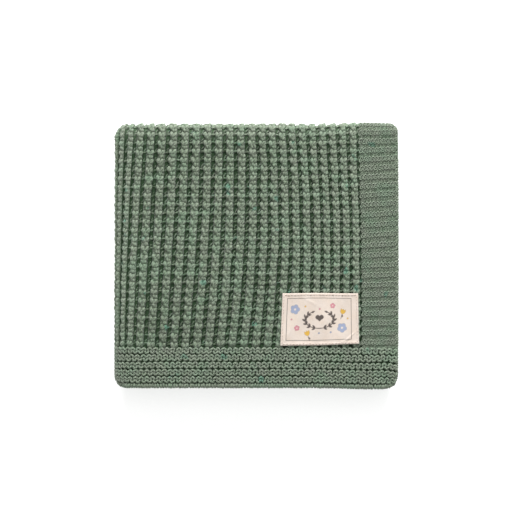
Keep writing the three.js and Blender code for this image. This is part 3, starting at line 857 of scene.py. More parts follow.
def side_rows(first):
    """Stitches of the right border from a row on: each one's distance from the free end and v of its
    front, and for each row the width of a stitch and its height as a share of the drawn one."""
    rows = np.arange(first, SIDE_RIDGES)
    low, high = side_row_v(rows), side_row_v(rows + 1)
    seam = rib_line(0, np.minimum(FRONT + low, BACK_TURN_Y)) + SIDE_SEAM
    count = sizes().side_stitches
    stitch = ((seam - SIDE_START) / count)[:, None]
    at = SIDE_START + (np.arange(count) + 0.5) * stitch
    slope = SIDE_CLIMB * np.sin(np.pi * (np.maximum(rows, 0) / SIDE_RIDGES) ** SIDE_CLIMB_POWER)
    rise = slope[:, None] * (seam[:, None] - at)
    return at, low[:, None] + rise, stitch, ((high - low) / SIDE_ROW_HEIGHT)[:, None]


def side_ridges(name, seed):
    """Rows of the right border: small leaning stitches, each of two rings that arch to the back and to the
    front, then a low band of leaning legs."""
    yarn = Yarn(seed)
    random = yarn.random

    def lay_row(across, along, template, tone):
        along = np.minimum(along, FACE_END)
        tones = random.normal(tone, 1, across.shape[:-1])
        knit(yarn, face, across, along, *template.T[2:], SIDE_SIDES, LOOP_FLATNESS, tones)

    at, low, _, size = side_rows(0)
    place = at + random.normal(0, SIDE_LOOP_SPREAD.across, at.shape)
    base = low + SIDE_LOOP_PLACE * size + random.normal(0, SIDE_LOOP_SPREAD.along, at.shape)
    for arch in (1, -1):
        across = place[..., None] - SIDE_LOOP[:, 0] - SIDE_LEAN * arch * SIDE_LOOP[:, 1]
        lay_row(across, base[..., None] + arch * SIDE_LOOP[:, 1], SIDE_LOOP, SIDE_LOOP_PAINTED_LIGHT)
    at, low, stitch, size = side_rows(-1)
    for share in LEG_SHARES:
        place = at + share * stitch + random.normal(0, SIDE_LEG_SPREAD.across, at.shape)
        base = low + random.normal(0, SIDE_LEG_SPREAD.along, at.shape)
        along = base[..., None] + SIDE_LEG[:, 1] * size[..., None]
        lay_row(place[..., None] - SIDE_LEG[:, 0] * LEG_WIDTH, along, SIDE_LEG, SIDE_LEG_PAINTED_LIGHT)
    return yarn.build(name)


BAR_SPREAD = Spread(0.12, 0.15, 0.1, 0.06)
# Spread of a stitch's place on the edge, and of each ring of a strand (mm)
EDGE_STITCH_SPREAD, BAR_WAVER = 0.25, 0.08
# The outer strands of a stitch are this far inside its ends (mm), and lean apart by this much
SLIT_HALF, BAR_SPLAY = 1.45, 1.5


def edge_bars(name, mapping, bar, lengths, pitch, strands, seed, tone=0.0, sides=6):
    """Strands that go over a free edge side by side, a few to each stitch, with a slit between stitches."""
    yarn = Yarn(seed)
    random = yarn.random
    at = spaced(*lengths, pitch)
    count = len(at)
    at = at + random.normal(0, EDGE_STITCH_SPREAD, count)
    for side in np.linspace(-1, 1, strands) * (pitch / 2 - SLIT_HALF):
        place = at + side + random.normal(0, BAR_SPREAD.across, count)
        waver = random.normal(0, BAR_WAVER, (count, len(bar)))
        run = place[:, None] + side / pitch * BAR_SPLAY * bar[:, 0] + waver
        q = bar[:, 1] + random.normal(0, BAR_SPREAD.along, (count, 1))
        off = bar[:, 2] + random.normal(0, BAR_SPREAD.height, (count, 1))
        radius = bar[:, 3] * (1 + random.normal(0, BAR_SPREAD.size, (count, 1)))
        tones = random.normal(tone, BAR_SPREAD.tone, count)
        knit(yarn, mapping, np.clip(run, *lengths), q, off, radius, sides, BAR_FLATNESS, tones)
    return yarn.build(name)


# On the turns: spread of the stitches, and of each whole rib
TURN_SPREAD, TURN_RIB_SPREAD = Spread(0.14, 0.14), Spread(0.25, 0.8)
TURN_SIDES = 5


def turn_ribs(name, mapping, ribs, starts, side_y, seed):
    """Rib stitches on a turn that is seen from the side, at the given starts along the turn."""
    yarn = Yarn(seed)
    random = yarn.random
    rib, start = np.meshgrid(ribs, starts, indexing="ij")
    centre = rib_line(rib, np.full(rib.shape, side_y))
    centre = centre + TURN_RIB_SPREAD.across * random.normal(0, 1, (len(ribs), 1))
    start = start + TURN_RIB_SPREAD.along * random.normal(0, 1, (len(ribs), 1))
    for template in (WIDE_LEFT, WIDE_RIGHT, NARROW_LEFT, NARROW_RIGHT):
        aside, ahead = nudges(random, TURN_SPREAD, centre.shape)
        a, w = place_stitches(template, aside, start + ahead)
        knit(yarn, mapping, centre[..., None] - a, w, *template.T[2:], TURN_SIDES, RIB_FLATNESS)
    return yarn.build(name)


# The ridges on a turn: width of a stitch (mm), their spread, and the width, length and thickness of a loop
# as shares of the one on the bottom border
TURN_STITCH = 4.35
TURN_LOOP_SPREAD = Spread(0.15, 0.15)
TURN_LOOP_WIDTH, TURN_LOOP_LENGTH, TURN_LOOP_SIZE = 0.7, 0.8, 0.75


def turn_ridges(name, mapping, distances, length, seed):
    """Garter ridges of the side border carried on around a turn: loops that arch both ways."""
    yarn = Yarn(seed)
    random = yarn.random
    at = spaced(*distances, TURN_STITCH)
    count = len(at)
    for middle in np.arange(TURN_STITCH, length, 2 * TURN_STITCH):
        for arch in (1, -1):
            place = at + (TURN_STITCH / 2 if arch < 0 else 0)
            place = place + random.normal(0, TURN_LOOP_SPREAD.across, count)
            a = place[:, None] - HEAD_LOOP[:, 0] * TURN_LOOP_WIDTH
            w = middle + arch * HEAD_LOOP[:, 1] * TURN_LOOP_LENGTH
            w = w + random.normal(0, TURN_LOOP_SPREAD.along, (count, 1))
            radius = HEAD_LOOP[:, 3] * TURN_LOOP_SIZE
            knit(yarn, mapping, a, w, HEAD_LOOP[:, 2], radius, TURN_SIDES, LOOP_FLATNESS)
    return yarn.build(name)


# ---- the label ----

# The label's size, the cells of its grid, and its hem (mm)
LABEL_SIZE = (82.6, 54.6)
LABEL_STEP = 0.5
LABEL_HEM = 2.6
# The label's underside is this far over the crests of the ribs
LABEL_LIFT = 0.55
# The frame line's distance from the left, right, front and back edge of the label, and half its width
FRAME_INSET = (5.7, 7.9, 5.4, 5.3)
FRAME_LINE = 0.3
# Waves of the label: height (mm), turn per mm along x and along y, shift
LABEL_WAVES = ((0.28, 0.11, 0.09, 0.6), (0.16, 0.21, -0.16, 2))
# Dents over the ribs: depth, distance apart (mm) and shift, and how far in from the edge they start
DENT, DENT_PITCH, DENT_SHIFT, DENT_START = 0.14, 11.9, 0.5, 6
# How far the hem is raised and over what width, and how far the edge is rolled down
HEM_RISE, HEM_STEP, EDGE_ROLL, EDGE_ROLL_WIDTH = 0.22, 0.5, 0.45, 0.7
# Creases: x, y, angle, half width, half length, height
CREASES = (
    (74, 8.5, 0.75, 1.0, 7, 0.5),
    (69, 4.5, 0.35, 0.9, 6, 0.3),
    (30, 46, -0.5, 1.4, 9, 0.22),
    (8, 12, 1.2, 1.3, 7, 0.22),
)


def label_height(u, v):
    """Height of the label's upper side over the swells of the blanket: two faint waves, dents between the
    ribs below, a slightly raised hem, an edge rolled down, and four short creases."""
    x = u * LABEL_SIZE[0]
    y = v * LABEL_SIZE[1]
    edge = np.minimum(np.minimum(x, LABEL_SIZE[0] - x), np.minimum(y, LABEL_SIZE[1] - y))
    z = sum(size * np.sin(kx * x + ky * y + shift) for size, kx, ky, shift in LABEL_WAVES)
    z += DENT * np.sin(2 * math.pi * x / DENT_PITCH + DENT_SHIFT) * smooth(edge / DENT_START)
    z += HEM_RISE * smooth((LABEL_HEM - edge) / HEM_STEP + 0.5)
    z -= EDGE_ROLL * smooth(1 - edge / EDGE_ROLL_WIDTH)
    for at_x, at_y, angle, wide, long, high in CREASES:
        along, across = turned(x, y, (at_x, at_y), angle)
        z += high * np.exp(-((across / wide) ** 2) - (along / long) ** 2)
    return z


# How far the front and back edges of the label bow out, and how far its cloth waves in its plane (mm)
LABEL_BOW, LABEL_WAVER, WAVER_TURNS = 0.3, 0.15, (9, 4)


def on_label(u, v, lift=0.0):
    """A place on the label in metres: between its four corners, at its height plus lift."""
    left = np.stack([(1 - v) * LABEL["front_left"][k] + v * LABEL["back_left"][k] for k in (0, 1)], -1)
    right = np.stack([(1 - v) * LABEL["front_right"][k] + v * LABEL["back_right"][k] for k in (0, 1)], -1)
    flat = left * (1 - u)[..., None] + right * u[..., None]
    flat[..., 1] += LABEL_BOW * np.sin(math.pi * u) * (2 * v - 1)
    flat[..., 1] += LABEL_WAVER * np.sin(WAVER_TURNS[0] * u + WAVER_TURNS[1] * v)
    rest = (Z_TOP + HALF + CREST) * height_share(flat[..., 0], flat[..., 1])
    z = rest + LABEL_LIFT + in_mm("label_thickness") + label_height(u, v) + lift
    return np.concatenate((flat, z[..., None]), -1) * MM


def turned(x, y, at, angle):
    """x and y measured from a place, along and across a direction."""
    dx, dy = x - at[0], y - at[1]
    return dx * math.cos(angle) + dy * math.sin(angle), dy * math.cos(angle) - dx * math.sin(angle)


# The printed shapes return how far inside them a place is, in mm, below 0 outside.


def ink_leaf(x, y, at, angle, length, width):
    """How far inside a pointed leaf: across less than width * (1 - (along / length)^2)."""
    along, across = turned(x, y, at, angle)
    return width * (1 - (along / length) ** 2) - np.abs(across)


def ink_disc(x, y, at, radius):
    return radius - np.hypot(x - at[0], y - at[1])


# A flower: number of petals, and its petals' reach, their radius and that of its middle, as shares
PETALS, PETAL_REACH, PETAL_ROUND, FLOWER_MIDDLE = 5, 0.56, 0.44, 0.5


def ink_petals(x, y, at, radius, turn):
    """How far inside a flower of round petals: the union of circles around its middle."""
    reach = radius * PETAL_REACH
    each = [ink_disc(x, y, at, radius * FLOWER_MIDDLE)]
    for angle in turn + np.arange(PETALS) * 2 * math.pi / PETALS:
        petal = (at[0] + reach * math.cos(angle), at[1] + reach * math.sin(angle))
        each.append(ink_disc(x, y, petal, radius * PETAL_ROUND))
    return np.max(each, axis=0)


# A tulip's petals: lean and length of each, and the half width of all, as shares of its size
TULIP_PETALS, TULIP_WIDTH = ((-0.42, 0.95), (0, 0.9), (0.42, 0.95)), 0.42


def ink_tulip(x, y, at, size, angle):
    """How far inside a tulip head: three pointed petals that spread from its foot."""
    foot = (at[0] - size * math.cos(angle), at[1] - size * math.sin(angle))
    petals = []
    for lean, length in TULIP_PETALS:
        way = angle + lean
        place = (foot[0] + size * length * math.cos(way), foot[1] + size * length * math.sin(way))
        petals.append(ink_leaf(x, y, place, way, size * length, size * TULIP_WIDTH))
    return np.max(petals, axis=0)


# The wreath: half its stem's width, its leaves on each side, the angle kept free at the bottom, and of a
# leaf its lean, the distance of its middle from the stem, its half length and its half width (mm)
WREATH_STEM, WREATH_LEAVES, WREATH_BOTTOM = 0.4, 7, 0.3
LEAF_LEAN, LEAF_REACH, LEAF_LENGTH, LEAF_WIDTH = 0.65, 2.0, 2.3, 0.95


def ink_wreath(x, y, at, size, opening):
    """How far inside a wreath: two stems along an ellipse, open at the top, with leaves on both sides."""
    dx, dy = (x - at[0]) / size[0], (y - at[1]) / size[1]
    from_top = np.abs(np.arctan2(dx, dy))
    ring = WREATH_STEM - np.abs(np.hypot(dx, dy) - 1) * min(size)
    best = np.minimum(ring, (from_top - opening) * min(size))
    for side in (-1, 1):
        for k, turn in enumerate(np.linspace(opening, math.pi - WREATH_BOTTOM, WREATH_LEAVES)):
            root = (at[0] + side * size[0] * math.sin(turn), at[1] + size[1] * math.cos(turn))
            along = math.atan2(size[1] * math.sin(turn), -side * size[0] * math.cos(turn))
            for lean in (-LEAF_LEAN, LEAF_LEAN) if k else (0,):
                angle = along + lean
                place = (root[0] + LEAF_REACH * math.cos(angle), root[1] + LEAF_REACH * math.sin(angle))
                best = np.maximum(best, ink_leaf(x, y, place, angle, LEAF_LENGTH, LEAF_WIDTH))
    return best


# The heart, as shares of its size: radius and place of a lobe, and of the corner below them its depth,
# how steep its sides are, how far it is moved up, and how soft its edge is
LOBE_RADIUS, LOBE_X, LOBE_Y = 0.55, 0.5, 0.35
POINT_DEPTH, POINT_SLOPE, POINT_UP, POINT_SOFTNESS = 0.95, 0.9, 0.25, 0.7


def ink_heart(x, y, at, size):
    """How far inside a heart: two circles on top of a corner that points down."""
    dx, dy = np.abs(x - at[0]) / size, (y - at[1]) / size
    lobes = LOBE_RADIUS - np.hypot(dx - LOBE_X, dy - LOBE_Y)
    corner = POINT_DEPTH - (dx * POINT_SLOPE - (dy - POINT_UP))
    return size * np.maximum(lobes, np.minimum(corner * POINT_SOFTNESS, LOBE_Y - dy))


# The printed design, with places and sizes in mm from the label's middle
WREATH = {"at": (-0.5, -0.5), "size": (15.5, 9.0), "opening": 0.62}
HEART = {"at": (-0.5, 0.6), "size": 4.2}
# Flowers: place, radius, colour. Each is turned a little further, and has a bare eye.
FLOWERS = (
    ((-27, 10.5), 5.2, "print_blue"),
    ((-24.5, -9.0), 3.0, "print_pink"),
    ((23.5, -9.5), 5.2, "print_blue"),
    ((13.5, 14.0), 2.9, "print_pink"),
)
FLOWER_TURN, FLOWER_EYE = 0.5, 0.2
# Tulips: place and angle. Their stem and their leaf are leaves too: distance below the head, distance
# beside it, further turn, half length and half width.
TULIPS = (((24.5, 8.2), 1.3), ((-13.5, -14.2), 1.9))
TULIP_SIZE = 3.3
TULIP_STALKS = ((5.6, 0, 0, 3.4, 0.4), (5.4, 0.9, 0.5, 1.7, 0.6))
DOTS = ((-16, 13.5), (-0.5, 10.5), (11.5, -14), (29.5, 0.5), (-30.5, 0), (-1, -14.5))
DOT_COLOURS, DOT_RADIUS = ("print_yellow", "print_pink", "print_blue"), 0.9
# Width of the ink's soft edge (mm), and how well it covers the cloth
INK_EDGE, INK_COVER = 0.5, 0.92


def label_print(x, y):
    """The printed design at x and y (mm from the middle): colour and cover of the ink. A leafy wreath
    around a heart, with flowers and tulips in three colours and dots around it."""
    layers = [("print_dark", ink_wreath(x, y, **WREATH)), ("print_dark", ink_heart(x, y, **HEART))]
    for k, (at, radius, colour) in enumerate(FLOWERS):
        layers.append((colour, ink_petals(x, y, at, radius, FLOWER_TURN * k)))
        layers.append((None, ink_disc(x, y, at, radius * FLOWER_EYE)))
    for at, angle in TULIPS:
        way = np.array((math.cos(angle), math.sin(angle)))
        for below, beside, turn, length, width in TULIP_STALKS:
            place = at - below * way + beside * way[::-1]
            layers.append(("print_dark", ink_leaf(x, y, place, angle + turn, length, width)))
        layers.append(("print_yellow", ink_tulip(x, y, at, TULIP_SIZE, angle)))
    for k, at in enumerate(DOTS):
        layers.append((DOT_COLOURS[k % len(DOT_COLOURS)], ink_disc(x, y, at, DOT_RADIUS)))
    ink = np.zeros((*x.shape, 4))
    for colour, inside in layers:
        paint = np.array(getattr(colours(), colour or "label"))
        paint[3] = INK_COVER if colour else 0
        cover = smooth(inside / INK_EDGE + 0.5)[..., None]
        ink = ink * (1 - cover) + paint * cover
    return ink


def label_cloth(name):
    """The label: a fine grid above and below, closed around its edge, with the print as a colour."""
    columns, rows = (int(round(side / LABEL_STEP)) + 1 for side in LABEL_SIZE)
    v, u = np.meshgrid(np.linspace(0, 1, rows), np.linspace(0, 1, columns), indexing="ij")
    top = on_label(u, v)
    low = top.copy()
    low[..., 2] -= sizes().label_thickness
    index = np.arange(rows * columns).reshape(rows, columns)
    up = np.stack((index[:-1, :-1], index[:-1, 1:], index[1:, 1:], index[1:, :-1]), -1).reshape(-1, 4)
    under = up[:, ::-1] + rows * columns
    ring = np.concatenate((index[0], index[1:, -1], index[-1, -2::-1], index[-2:0:-1, 0]))
    after = np.roll(ring, -1)
    wall = np.stack((ring + rows * columns, after + rows * columns, after, ring), -1)
    quads = np.concatenate((up, under, wall))
    flat = np.stack((u * LABEL_SIZE[0], v * LABEL_SIZE[1]), -1).reshape(-1, 2)
    uv = np.concatenate((flat, flat))[quads.ravel()]
    places = np.concatenate((top.reshape(-1, 3), low.reshape(-1, 3)))
    piece = new_piece(name, places, quads.ravel(), np.full(len(quads), 4), "printed_label_cotton", uv)
    ink = label_print(flat[:, 0] - LABEL_SIZE[0] / 2, flat[:, 1] - LABEL_SIZE[1] / 2)
    ink = np.concatenate((ink, ink * (1, 1, 1, 0)))  # the underside is bare
    attribute = piece.data.attributes.new("print", "FLOAT_COLOR", "POINT")
    attribute.data.foreach_set("color", ink.astype(np.float32).ravel())
    return piece


# The hem stitches (mm): how far inside the edge, their length, and their spread
STITCH_INSET, STITCH_LENGTH = 1.8, 2.3
STITCH_SPREAD = Spread(0.1, 0.12, size=0.15)
THREAD_RADIUS, THREAD_SIDES, THREAD_FLATNESS = 0.3, 6, 0.8
# The rings of a stitch: share of its length, and height over the cloth (mm), which both ends go down into
STITCH_RINGS = np.linspace(-0.5, 0.5, 5)
STITCH_HEIGHTS = np.array([-0.35, 0.12, 0.2, 0.12, -0.35])


def label_stitches(name, seed):
    """A running stitch of thread along all four sides of the label, on its hem."""
    yarn = Yarn(seed)
    random = yarn.random
    wide, deep = (side - 2 * STITCH_INSET for side in LABEL_SIZE)
    corners = np.array([(0, 0), (wide, 0), (wide, deep), (0, deep)]) + STITCH_INSET
    for start, end in zip(corners, np.roll(corners, -1, axis=0)):
        side = np.linalg.norm(end - start)
        along = (end - start) / side
        count = int(side // in_mm("hem_stitch"))
        at = (np.arange(count) + 0.5) * side / count + random.normal(0, STITCH_SPREAD.along, count)
        length = STITCH_LENGTH + random.normal(0, STITCH_SPREAD.size, (count, 1))
        place = at[:, None] + STITCH_RINGS * length
        aside = random.normal(0, STITCH_SPREAD.across, (2, count, 1))
        u = (start[0] + along[0] * place + aside[0] * along[1]) / LABEL_SIZE[0]
        v = (start[1] + along[1] * place + aside[1] * along[0]) / LABEL_SIZE[1]
        centres, out = (
            on_label(u, v, np.broadcast_to(STITCH_HEIGHTS + step, u.shape)) for step in (0, OUT_STEP)
        )
        yarn.add(centres, out, THREAD_RADIUS, THREAD_SIDES, THREAD_FLATNESS)
    return yarn.build(name, "sewing_thread")


# ---- materials ----

MATH, MIX, NOISE, RANGE = "ShaderNodeMath", "ShaderNodeMix", "ShaderNodeTexNoise", "ShaderNodeMapRange"


def add_node(tree, kind, inputs=None, **settings):
    """Adds a node and returns its outputs. settings sets its fields. Each of inputs, by name or number,
    is joined where its value is a socket, and set where it isn't."""
    node = tree.nodes.new(kind)
    for field, value in settings.items():
        setattr(node, field, value)
    for key, value in (inputs or {}).items():
        if isinstance(value, bpy.types.NodeSocket):
            tree.links.new(value, node.inputs[key])
        else:
            node.inputs[key].default_value = value
    return node.outputs


def new_material(name):
    material = bpy.data.materials.new(name)
    material.use_nodes = True
    material.node_tree.nodes.clear()
    return material, material.node_tree


def times(colour, *factors):
    """A linear colour times one factor, or times one for each channel."""
    factors = factors * 3 if len(factors) == 1 else factors
    return (*(factor * part for factor, part in zip(factors, colour)), 1.0)


def finish(tree, colour, height, settings, strength, depth):
    """Ends a material with relief of the given strength and depth (mm), and the shader's own numbers."""
    bump = add_node(tree, "ShaderNodeBump", {"Strength": strength, "Distance": depth * MM, "Height": height})
    inputs = {"Base Color": colour, "Normal": bump[0], **settings}
    shader = add_node(tree, "ShaderNodeBsdfPrincipled", inputs)
    add_node(tree, "ShaderNodeOutputMaterial", {"Surface": shader[0]})


# The yarn's plies, and how long one turn of its twist is (mm)
PLIES, TWIST_PITCH = 3, 3.2
# What the fibres look like (mm): the hairs on the surface, and the darker and paler spots between them.
# Real ones are 0.02 mm to 0.3 mm, too fine to show in the render, so both are drawn coarser.
HAIRS, SPOTS = 1.1, 1.6
# How far apart the places are where the dye is greyer or greener, and the teal flecks (mm)
GREYER_PLACES, GREENER_PLACES, FLECKS = 10.5, 14.3, 11.1
# How far a stitch's tone (random, and partly painted light and shade), its plies (a painted highlight on
# their tops) and its spots lighten it
TONE_SHARE, PLY_SHARE, SPOT_SHARE, DARKEST_SPOT = 0.07, 0.22, 1.7, -0.3
# The share of hairs in the relief, next to the plies
HAIR_RELIEF = 0.6


def yarn_material(name, c):
    """Combed cotton yarn of several soft plies, sage green in its dye: matt, a little fuzzy, with a slanting
    twist, painted paler on top of the plies as a painted highlight, slightly mottled, and with a rare teal
    fleck."""
    material, tree = new_material(name)
    place = add_node(tree, "ShaderNodeTexCoord")["Object"]
    tone = add_node(tree, "ShaderNodeAttribute", attribute_name="tone")["Fac"]
    uv = add_node(tree, "ShaderNodeUVMap", uv_map="yarn")[0]
    around, along, _ = add_node(tree, "ShaderNodeSeparateXYZ", {0: uv})

    # Plies: a ridge for each, at around * plies + length / twist pitch
    turns = add_node(tree, MATH, {0: around, 1: PLIES}, operation="MULTIPLY")[0]
    twist = add_node(tree, MATH, {0: along, 1: 1 / TWIST_PITCH, 2: turns}, operation="MULTIPLY_ADD")[0]
    there_and_back = add_node(tree, MATH, {0: twist, 1: 0.5}, operation="PINGPONG")[0]
    half_turn = add_node(tree, MATH, {0: there_and_back, 1: math.pi}, operation="MULTIPLY")[0]
    ply = add_node(tree, MATH, {0: half_turn}, operation="SINE")[0]

    # Brightness from painted shade to the lit colour: tone of the stitch, spots, and plies as a painted
    # highlight
    spots = add_node(tree, NOISE, {"Vector": place, "Scale": 1 / (SPOTS * MM), "Detail": 3.0})[0]
    bright = add_node(tree, MATH, {0: tone, 1: TONE_SHARE, 2: DARKEST_SPOT}, operation="MULTIPLY_ADD")[0]
    for part, share in ((spots, SPOT_SHARE), (ply, PLY_SHARE)):
        bright = add_node(tree, MATH, {0: part, 1: share, 2: bright}, operation="MULTIPLY_ADD")[0]
    bright = add_node(tree, "ShaderNodeClamp", {0: bright})[0]
    dye_and_painted_light = add_node(tree, MIX, {0: bright, 6: c.yarn_mottle_and_painted_shade, 7: c.yarn}, data_type="RGBA")[2]

    # The dye took a little differently from place to place, and a few fibres are teal
    for size, detail, (low, high), most, colour in (
        (GREYER_PLACES, 1.0, (0.42, 0.68), 0.25, c.yarn_grey),
        (GREENER_PLACES, 1.0, (0.45, 0.7), 0.35, c.yarn_green),
        (FLECKS, 0.0, (0.785, 0.845), 0.45, c.fleck),
    ):
        there = add_node(tree, NOISE, {"Vector": place, "Scale": 1 / (size * MM), "Detail": detail})[0]
        limits = {"From Min": low, "From Max": high, "To Min": 0.0, "To Max": most}
        factor = add_node(tree, RANGE, {"Value": there, **limits})[0]
        dye_and_painted_light = add_node(tree, MIX, {0: factor, 6: dye_and_painted_light, 7: colour}, data_type="RGBA")[2]

    hairs = add_node(tree, NOISE, {"Vector": place, "Scale": 1 / (HAIRS * MM)})[0]
    height = add_node(tree, MATH, {0: hairs, 1: HAIR_RELIEF, 2: ply}, operation="MULTIPLY_ADD")[0]
    cotton = {"Roughness": 0.9, "IOR": 1.5, "Specular IOR Level": 0.3}
    fuzz = {"Sheen Weight": 0.25, "Sheen Roughness": 0.5}
    finish(tree, dye_and_painted_light, height, {**cotton, **fuzz}, strength=0.9, depth=0.5)
    return material


# The size of the loops' backs in the ground (mm)
LOOP_BACKS = 2.2


def ground_material(name, c):
    """Painted shade for the inside of the knit: the same cotton yarn, seen only between the stitches,
    coloured dark as painted shade, and paler where it comes up under the borders and, as painted light, on
    the back turn."""
    material, tree = new_material(name)
    place = add_node(tree, "ShaderNodeTexCoord")["Object"]
    # The tone attribute: how much paler the painted shade is under the borders, and the painted light on the
    # back turn
    raised = add_node(tree, "ShaderNodeAttribute", attribute_name="tone")["Fac"]
    mottle = add_node(tree, NOISE, {"Vector": place, "Scale": 1 / (LOOP_BACKS * MM)})[0]
    between = {0: mottle, 6: times(c.ground, 0.3), 7: times(c.ground, 1.4)}
    shaded = add_node(tree, MIX, between, data_type="RGBA")[2]
    paler = add_node(tree, MIX, {0: raised, 6: shaded, 7: c.ground_raised}, data_type="RGBA")[2]
    cotton = {"Roughness": 0.95, "IOR": 1.5, "Specular IOR Level": 0.2}
    finish(tree, paler, mottle, cotton, strength=0.5, depth=0.5)
    return material


# The label's threads: how far apart they lie, and how far an uneven one runs (mm)
THREAD_SPACING, UNEVEN_LENGTH = 0.45, 4.0
# How far apart the yellower places of the cloth are, and how soft the frame line's edge is (mm)
YELLOWER_PLACES, LINE_SOFTNESS = 9.0, 0.1
LINE_INK = 0.8


def frame_line(tree, x, y):
    """The ink of the printed frame line, by the larger of the distances past its sides."""
    past = []
    for k, place in enumerate((x, y)):
        half = (LABEL_SIZE[k] - FRAME_INSET[2 * k] - FRAME_INSET[2 * k + 1]) / 2
        from_centre = add_node(tree, MATH, {0: place, 1: FRAME_INSET[2 * k] + half}, operation="SUBTRACT")[0]
        to_side = add_node(tree, MATH, {0: from_centre}, operation="ABSOLUTE")[0]
        past.append(add_node(tree, MATH, {0: to_side, 1: half}, operation="SUBTRACT")[0])
    furthest = add_node(tree, MATH, {0: past[0], 1: past[1]}, operation="MAXIMUM")[0]
    away = add_node(tree, MATH, {0: furthest}, operation="ABSOLUTE")[0]
    limits = {"From Min": FRAME_LINE - LINE_SOFTNESS, "From Max": FRAME_LINE + LINE_SOFTNESS}
    return add_node(tree, RANGE, {"Value": away, **limits, "To Min": LINE_INK, "To Max": 0.0})[0]


def label_material(name, c):
    """Bleached plain-woven cotton, printed: pale warm cloth, matt, with fine threads both ways, a little
    uneven and yellower in places, and with a thin printed frame line. Its map is in mm."""
    material, tree = new_material(name)
    uv = add_node(tree, "ShaderNodeUVMap", uv_map="yarn")[0]
    x, y, _ = add_node(tree, "ShaderNodeSeparateXYZ", {0: uv})
    ink = add_node(tree, "ShaderNodeAttribute", attribute_name="print")

    # Threads both ways: noise stretched along x and along y
    threads = []
    for scale in ((1 / UNEVEN_LENGTH, 1 / THREAD_SPACING, 1.0), (1 / THREAD_SPACING, 1 / UNEVEN_LENGTH, 1.0)):
        stretched = add_node(tree, "ShaderNodeMapping", {"Vector": uv, "Scale": scale})[0]
        threads.append(add_node(tree, NOISE, {"Vector": stretched, "Scale": 1.0})[0])
    weave = add_node(tree, MATH, {0: threads[0], 1: threads[1]}, operation="ADD")[0]

    places = add_node(tree, NOISE, {"Vector": uv, "Scale": 1 / YELLOWER_PLACES})[0]
    limits = {"From Min": 0.35, "From Max": 0.7, "To Min": 0.0, "To Max": 0.5}
    yellower = add_node(tree, RANGE, {"Value": places, **limits})[0]
    between = {0: yellower, 6: c.label, 7: times(c.label, 0.95, 0.88, 0.8)}
    cloth = add_node(tree, MIX, between, data_type="RGBA")[2]
    limits = {"From Min": 0.75, "From Max": 1.25, "To Min": 0.35, "To Max": 0.0}
    gaps = add_node(tree, RANGE, {"Value": weave, **limits})[0]
    woven = add_node(tree, MIX, {0: gaps, 6: cloth, 7: times(c.label, 0.72)}, data_type="RGBA")[2]
    framed = {0: frame_line(tree, x, y), 6: woven, 7: c.print_dark}
    framed = add_node(tree, MIX, framed, data_type="RGBA")[2]
    printed = add_node(tree, MIX, {0: ink["Alpha"], 6: framed, 7: ink["Color"]}, data_type="RGBA")[2]
    cotton = {"Roughness": 0.85, "IOR": 1.5, "Specular IOR Level": 0.3, "Sheen Weight": 0.1}
    finish(tree, printed, weave, cotton, strength=0.5, depth=0.3)
    return material


# The sewing thread's twist (mm), and the wave texture's bands in one unit of its scale
THREAD_TWIST, BANDS_PER_UNIT = 0.52, 10 / (2 * math.pi)


def thread_material(name, c):
    """Polyester sewing thread: fine, slightly shiny, with its twist as relief, and darker in the twist's
    grooves as painted shade.
    """
    material, tree = new_material(name)
    uv = add_node(tree, "ShaderNodeUVMap", uv_map="yarn")[0]
    bands = {"Vector": uv, "Scale": 1 / (THREAD_TWIST * BANDS_PER_UNIT)}
    twist = add_node(tree, "ShaderNodeTexWave", bands, wave_type="BANDS", bands_direction="DIAGONAL")[1]
    # Painted shade: the thread is darker in the grooves of its twist
    between = {0: twist, 6: times(c.thread, 0.75), 7: c.thread}
    twisted = add_node(tree, MIX, between, data_type="RGBA")[2]
    polyester = {"Roughness": 0.5, "IOR": 1.55, "Specular IOR Level": 0.5}
    finish(tree, twisted, twist, polyester, strength=0.4, depth=0.1)
    return material


MATERIALS = {
    "combed_cotton_yarn": yarn_material,
    "cotton_knit_ground": ground_material,
    "printed_label_cotton": label_material,
    "sewing_thread": thread_material,
}


def shared_material(name):
    return bpy.data.materials.get(name) or MATERIALS[name](name, colours())


# ---- pieces ----


def loop_grid(rows, columns):
    """Quads of a grid that closes on itself across its columns."""
    index = np.arange(rows * columns).reshape(rows, columns)
    after = np.roll(index, -1, axis=1)
    return np.stack((index[:-1], after[:-1], after[1:], index[1:]), -1).reshape(-1, 4)


# How far the ground comes up under the bottom and the right border (mm), and how much paler it is painted
# there (less painted shade) and on the back turn (painted light)
FRONT_RISE, RIGHT_RISE = 0.9, 1.6
FRONT_PALE, RIGHT_PALE, TURN_PALE = 0.15, 0.4, 0.8
# How far past a border the rise begins and over what length, and where the back turn's painted light begins
# before the turn, over what length, and how far past its start it is measured (mm)
RISE_PAST, RISE_FADE = 1, 4
TURN_TONE_BEFORE, TURN_TONE_FADE, TURN_TONE_END = 10, 9, 2


def ground_rise(distance, v):
    """How far the ground comes up under the borders, whose stitches are finer than those of the ribs,
    and how much paler it is painted there and on the back turn: less painted shade, and painted light."""
    front = smooth((BORDER + RISE_PAST - v) / RISE_FADE)
    right = smooth((rib_line(0, FRONT + v) - RISE_PAST - distance) / RISE_FADE) * (1 - front)
    turn = smooth((v - FLAT_END + TURN_TONE_BEFORE) / TURN_TONE_FADE) * (1 - right)
    return FRONT_RISE * front + RIGHT_RISE * right, FRONT_PALE * front + RIGHT_PALE * right + TURN_PALE * turn


# The sheet's two sides, from the middle of the cloth, and how far it stays inside the free edges at the
# front and back and at the tucked end (mm)
SHEET_TOP, SHEET_UNDER = -0.1, -1.2
SHEET_INSET, SHEET_END = 2.0, 1.5
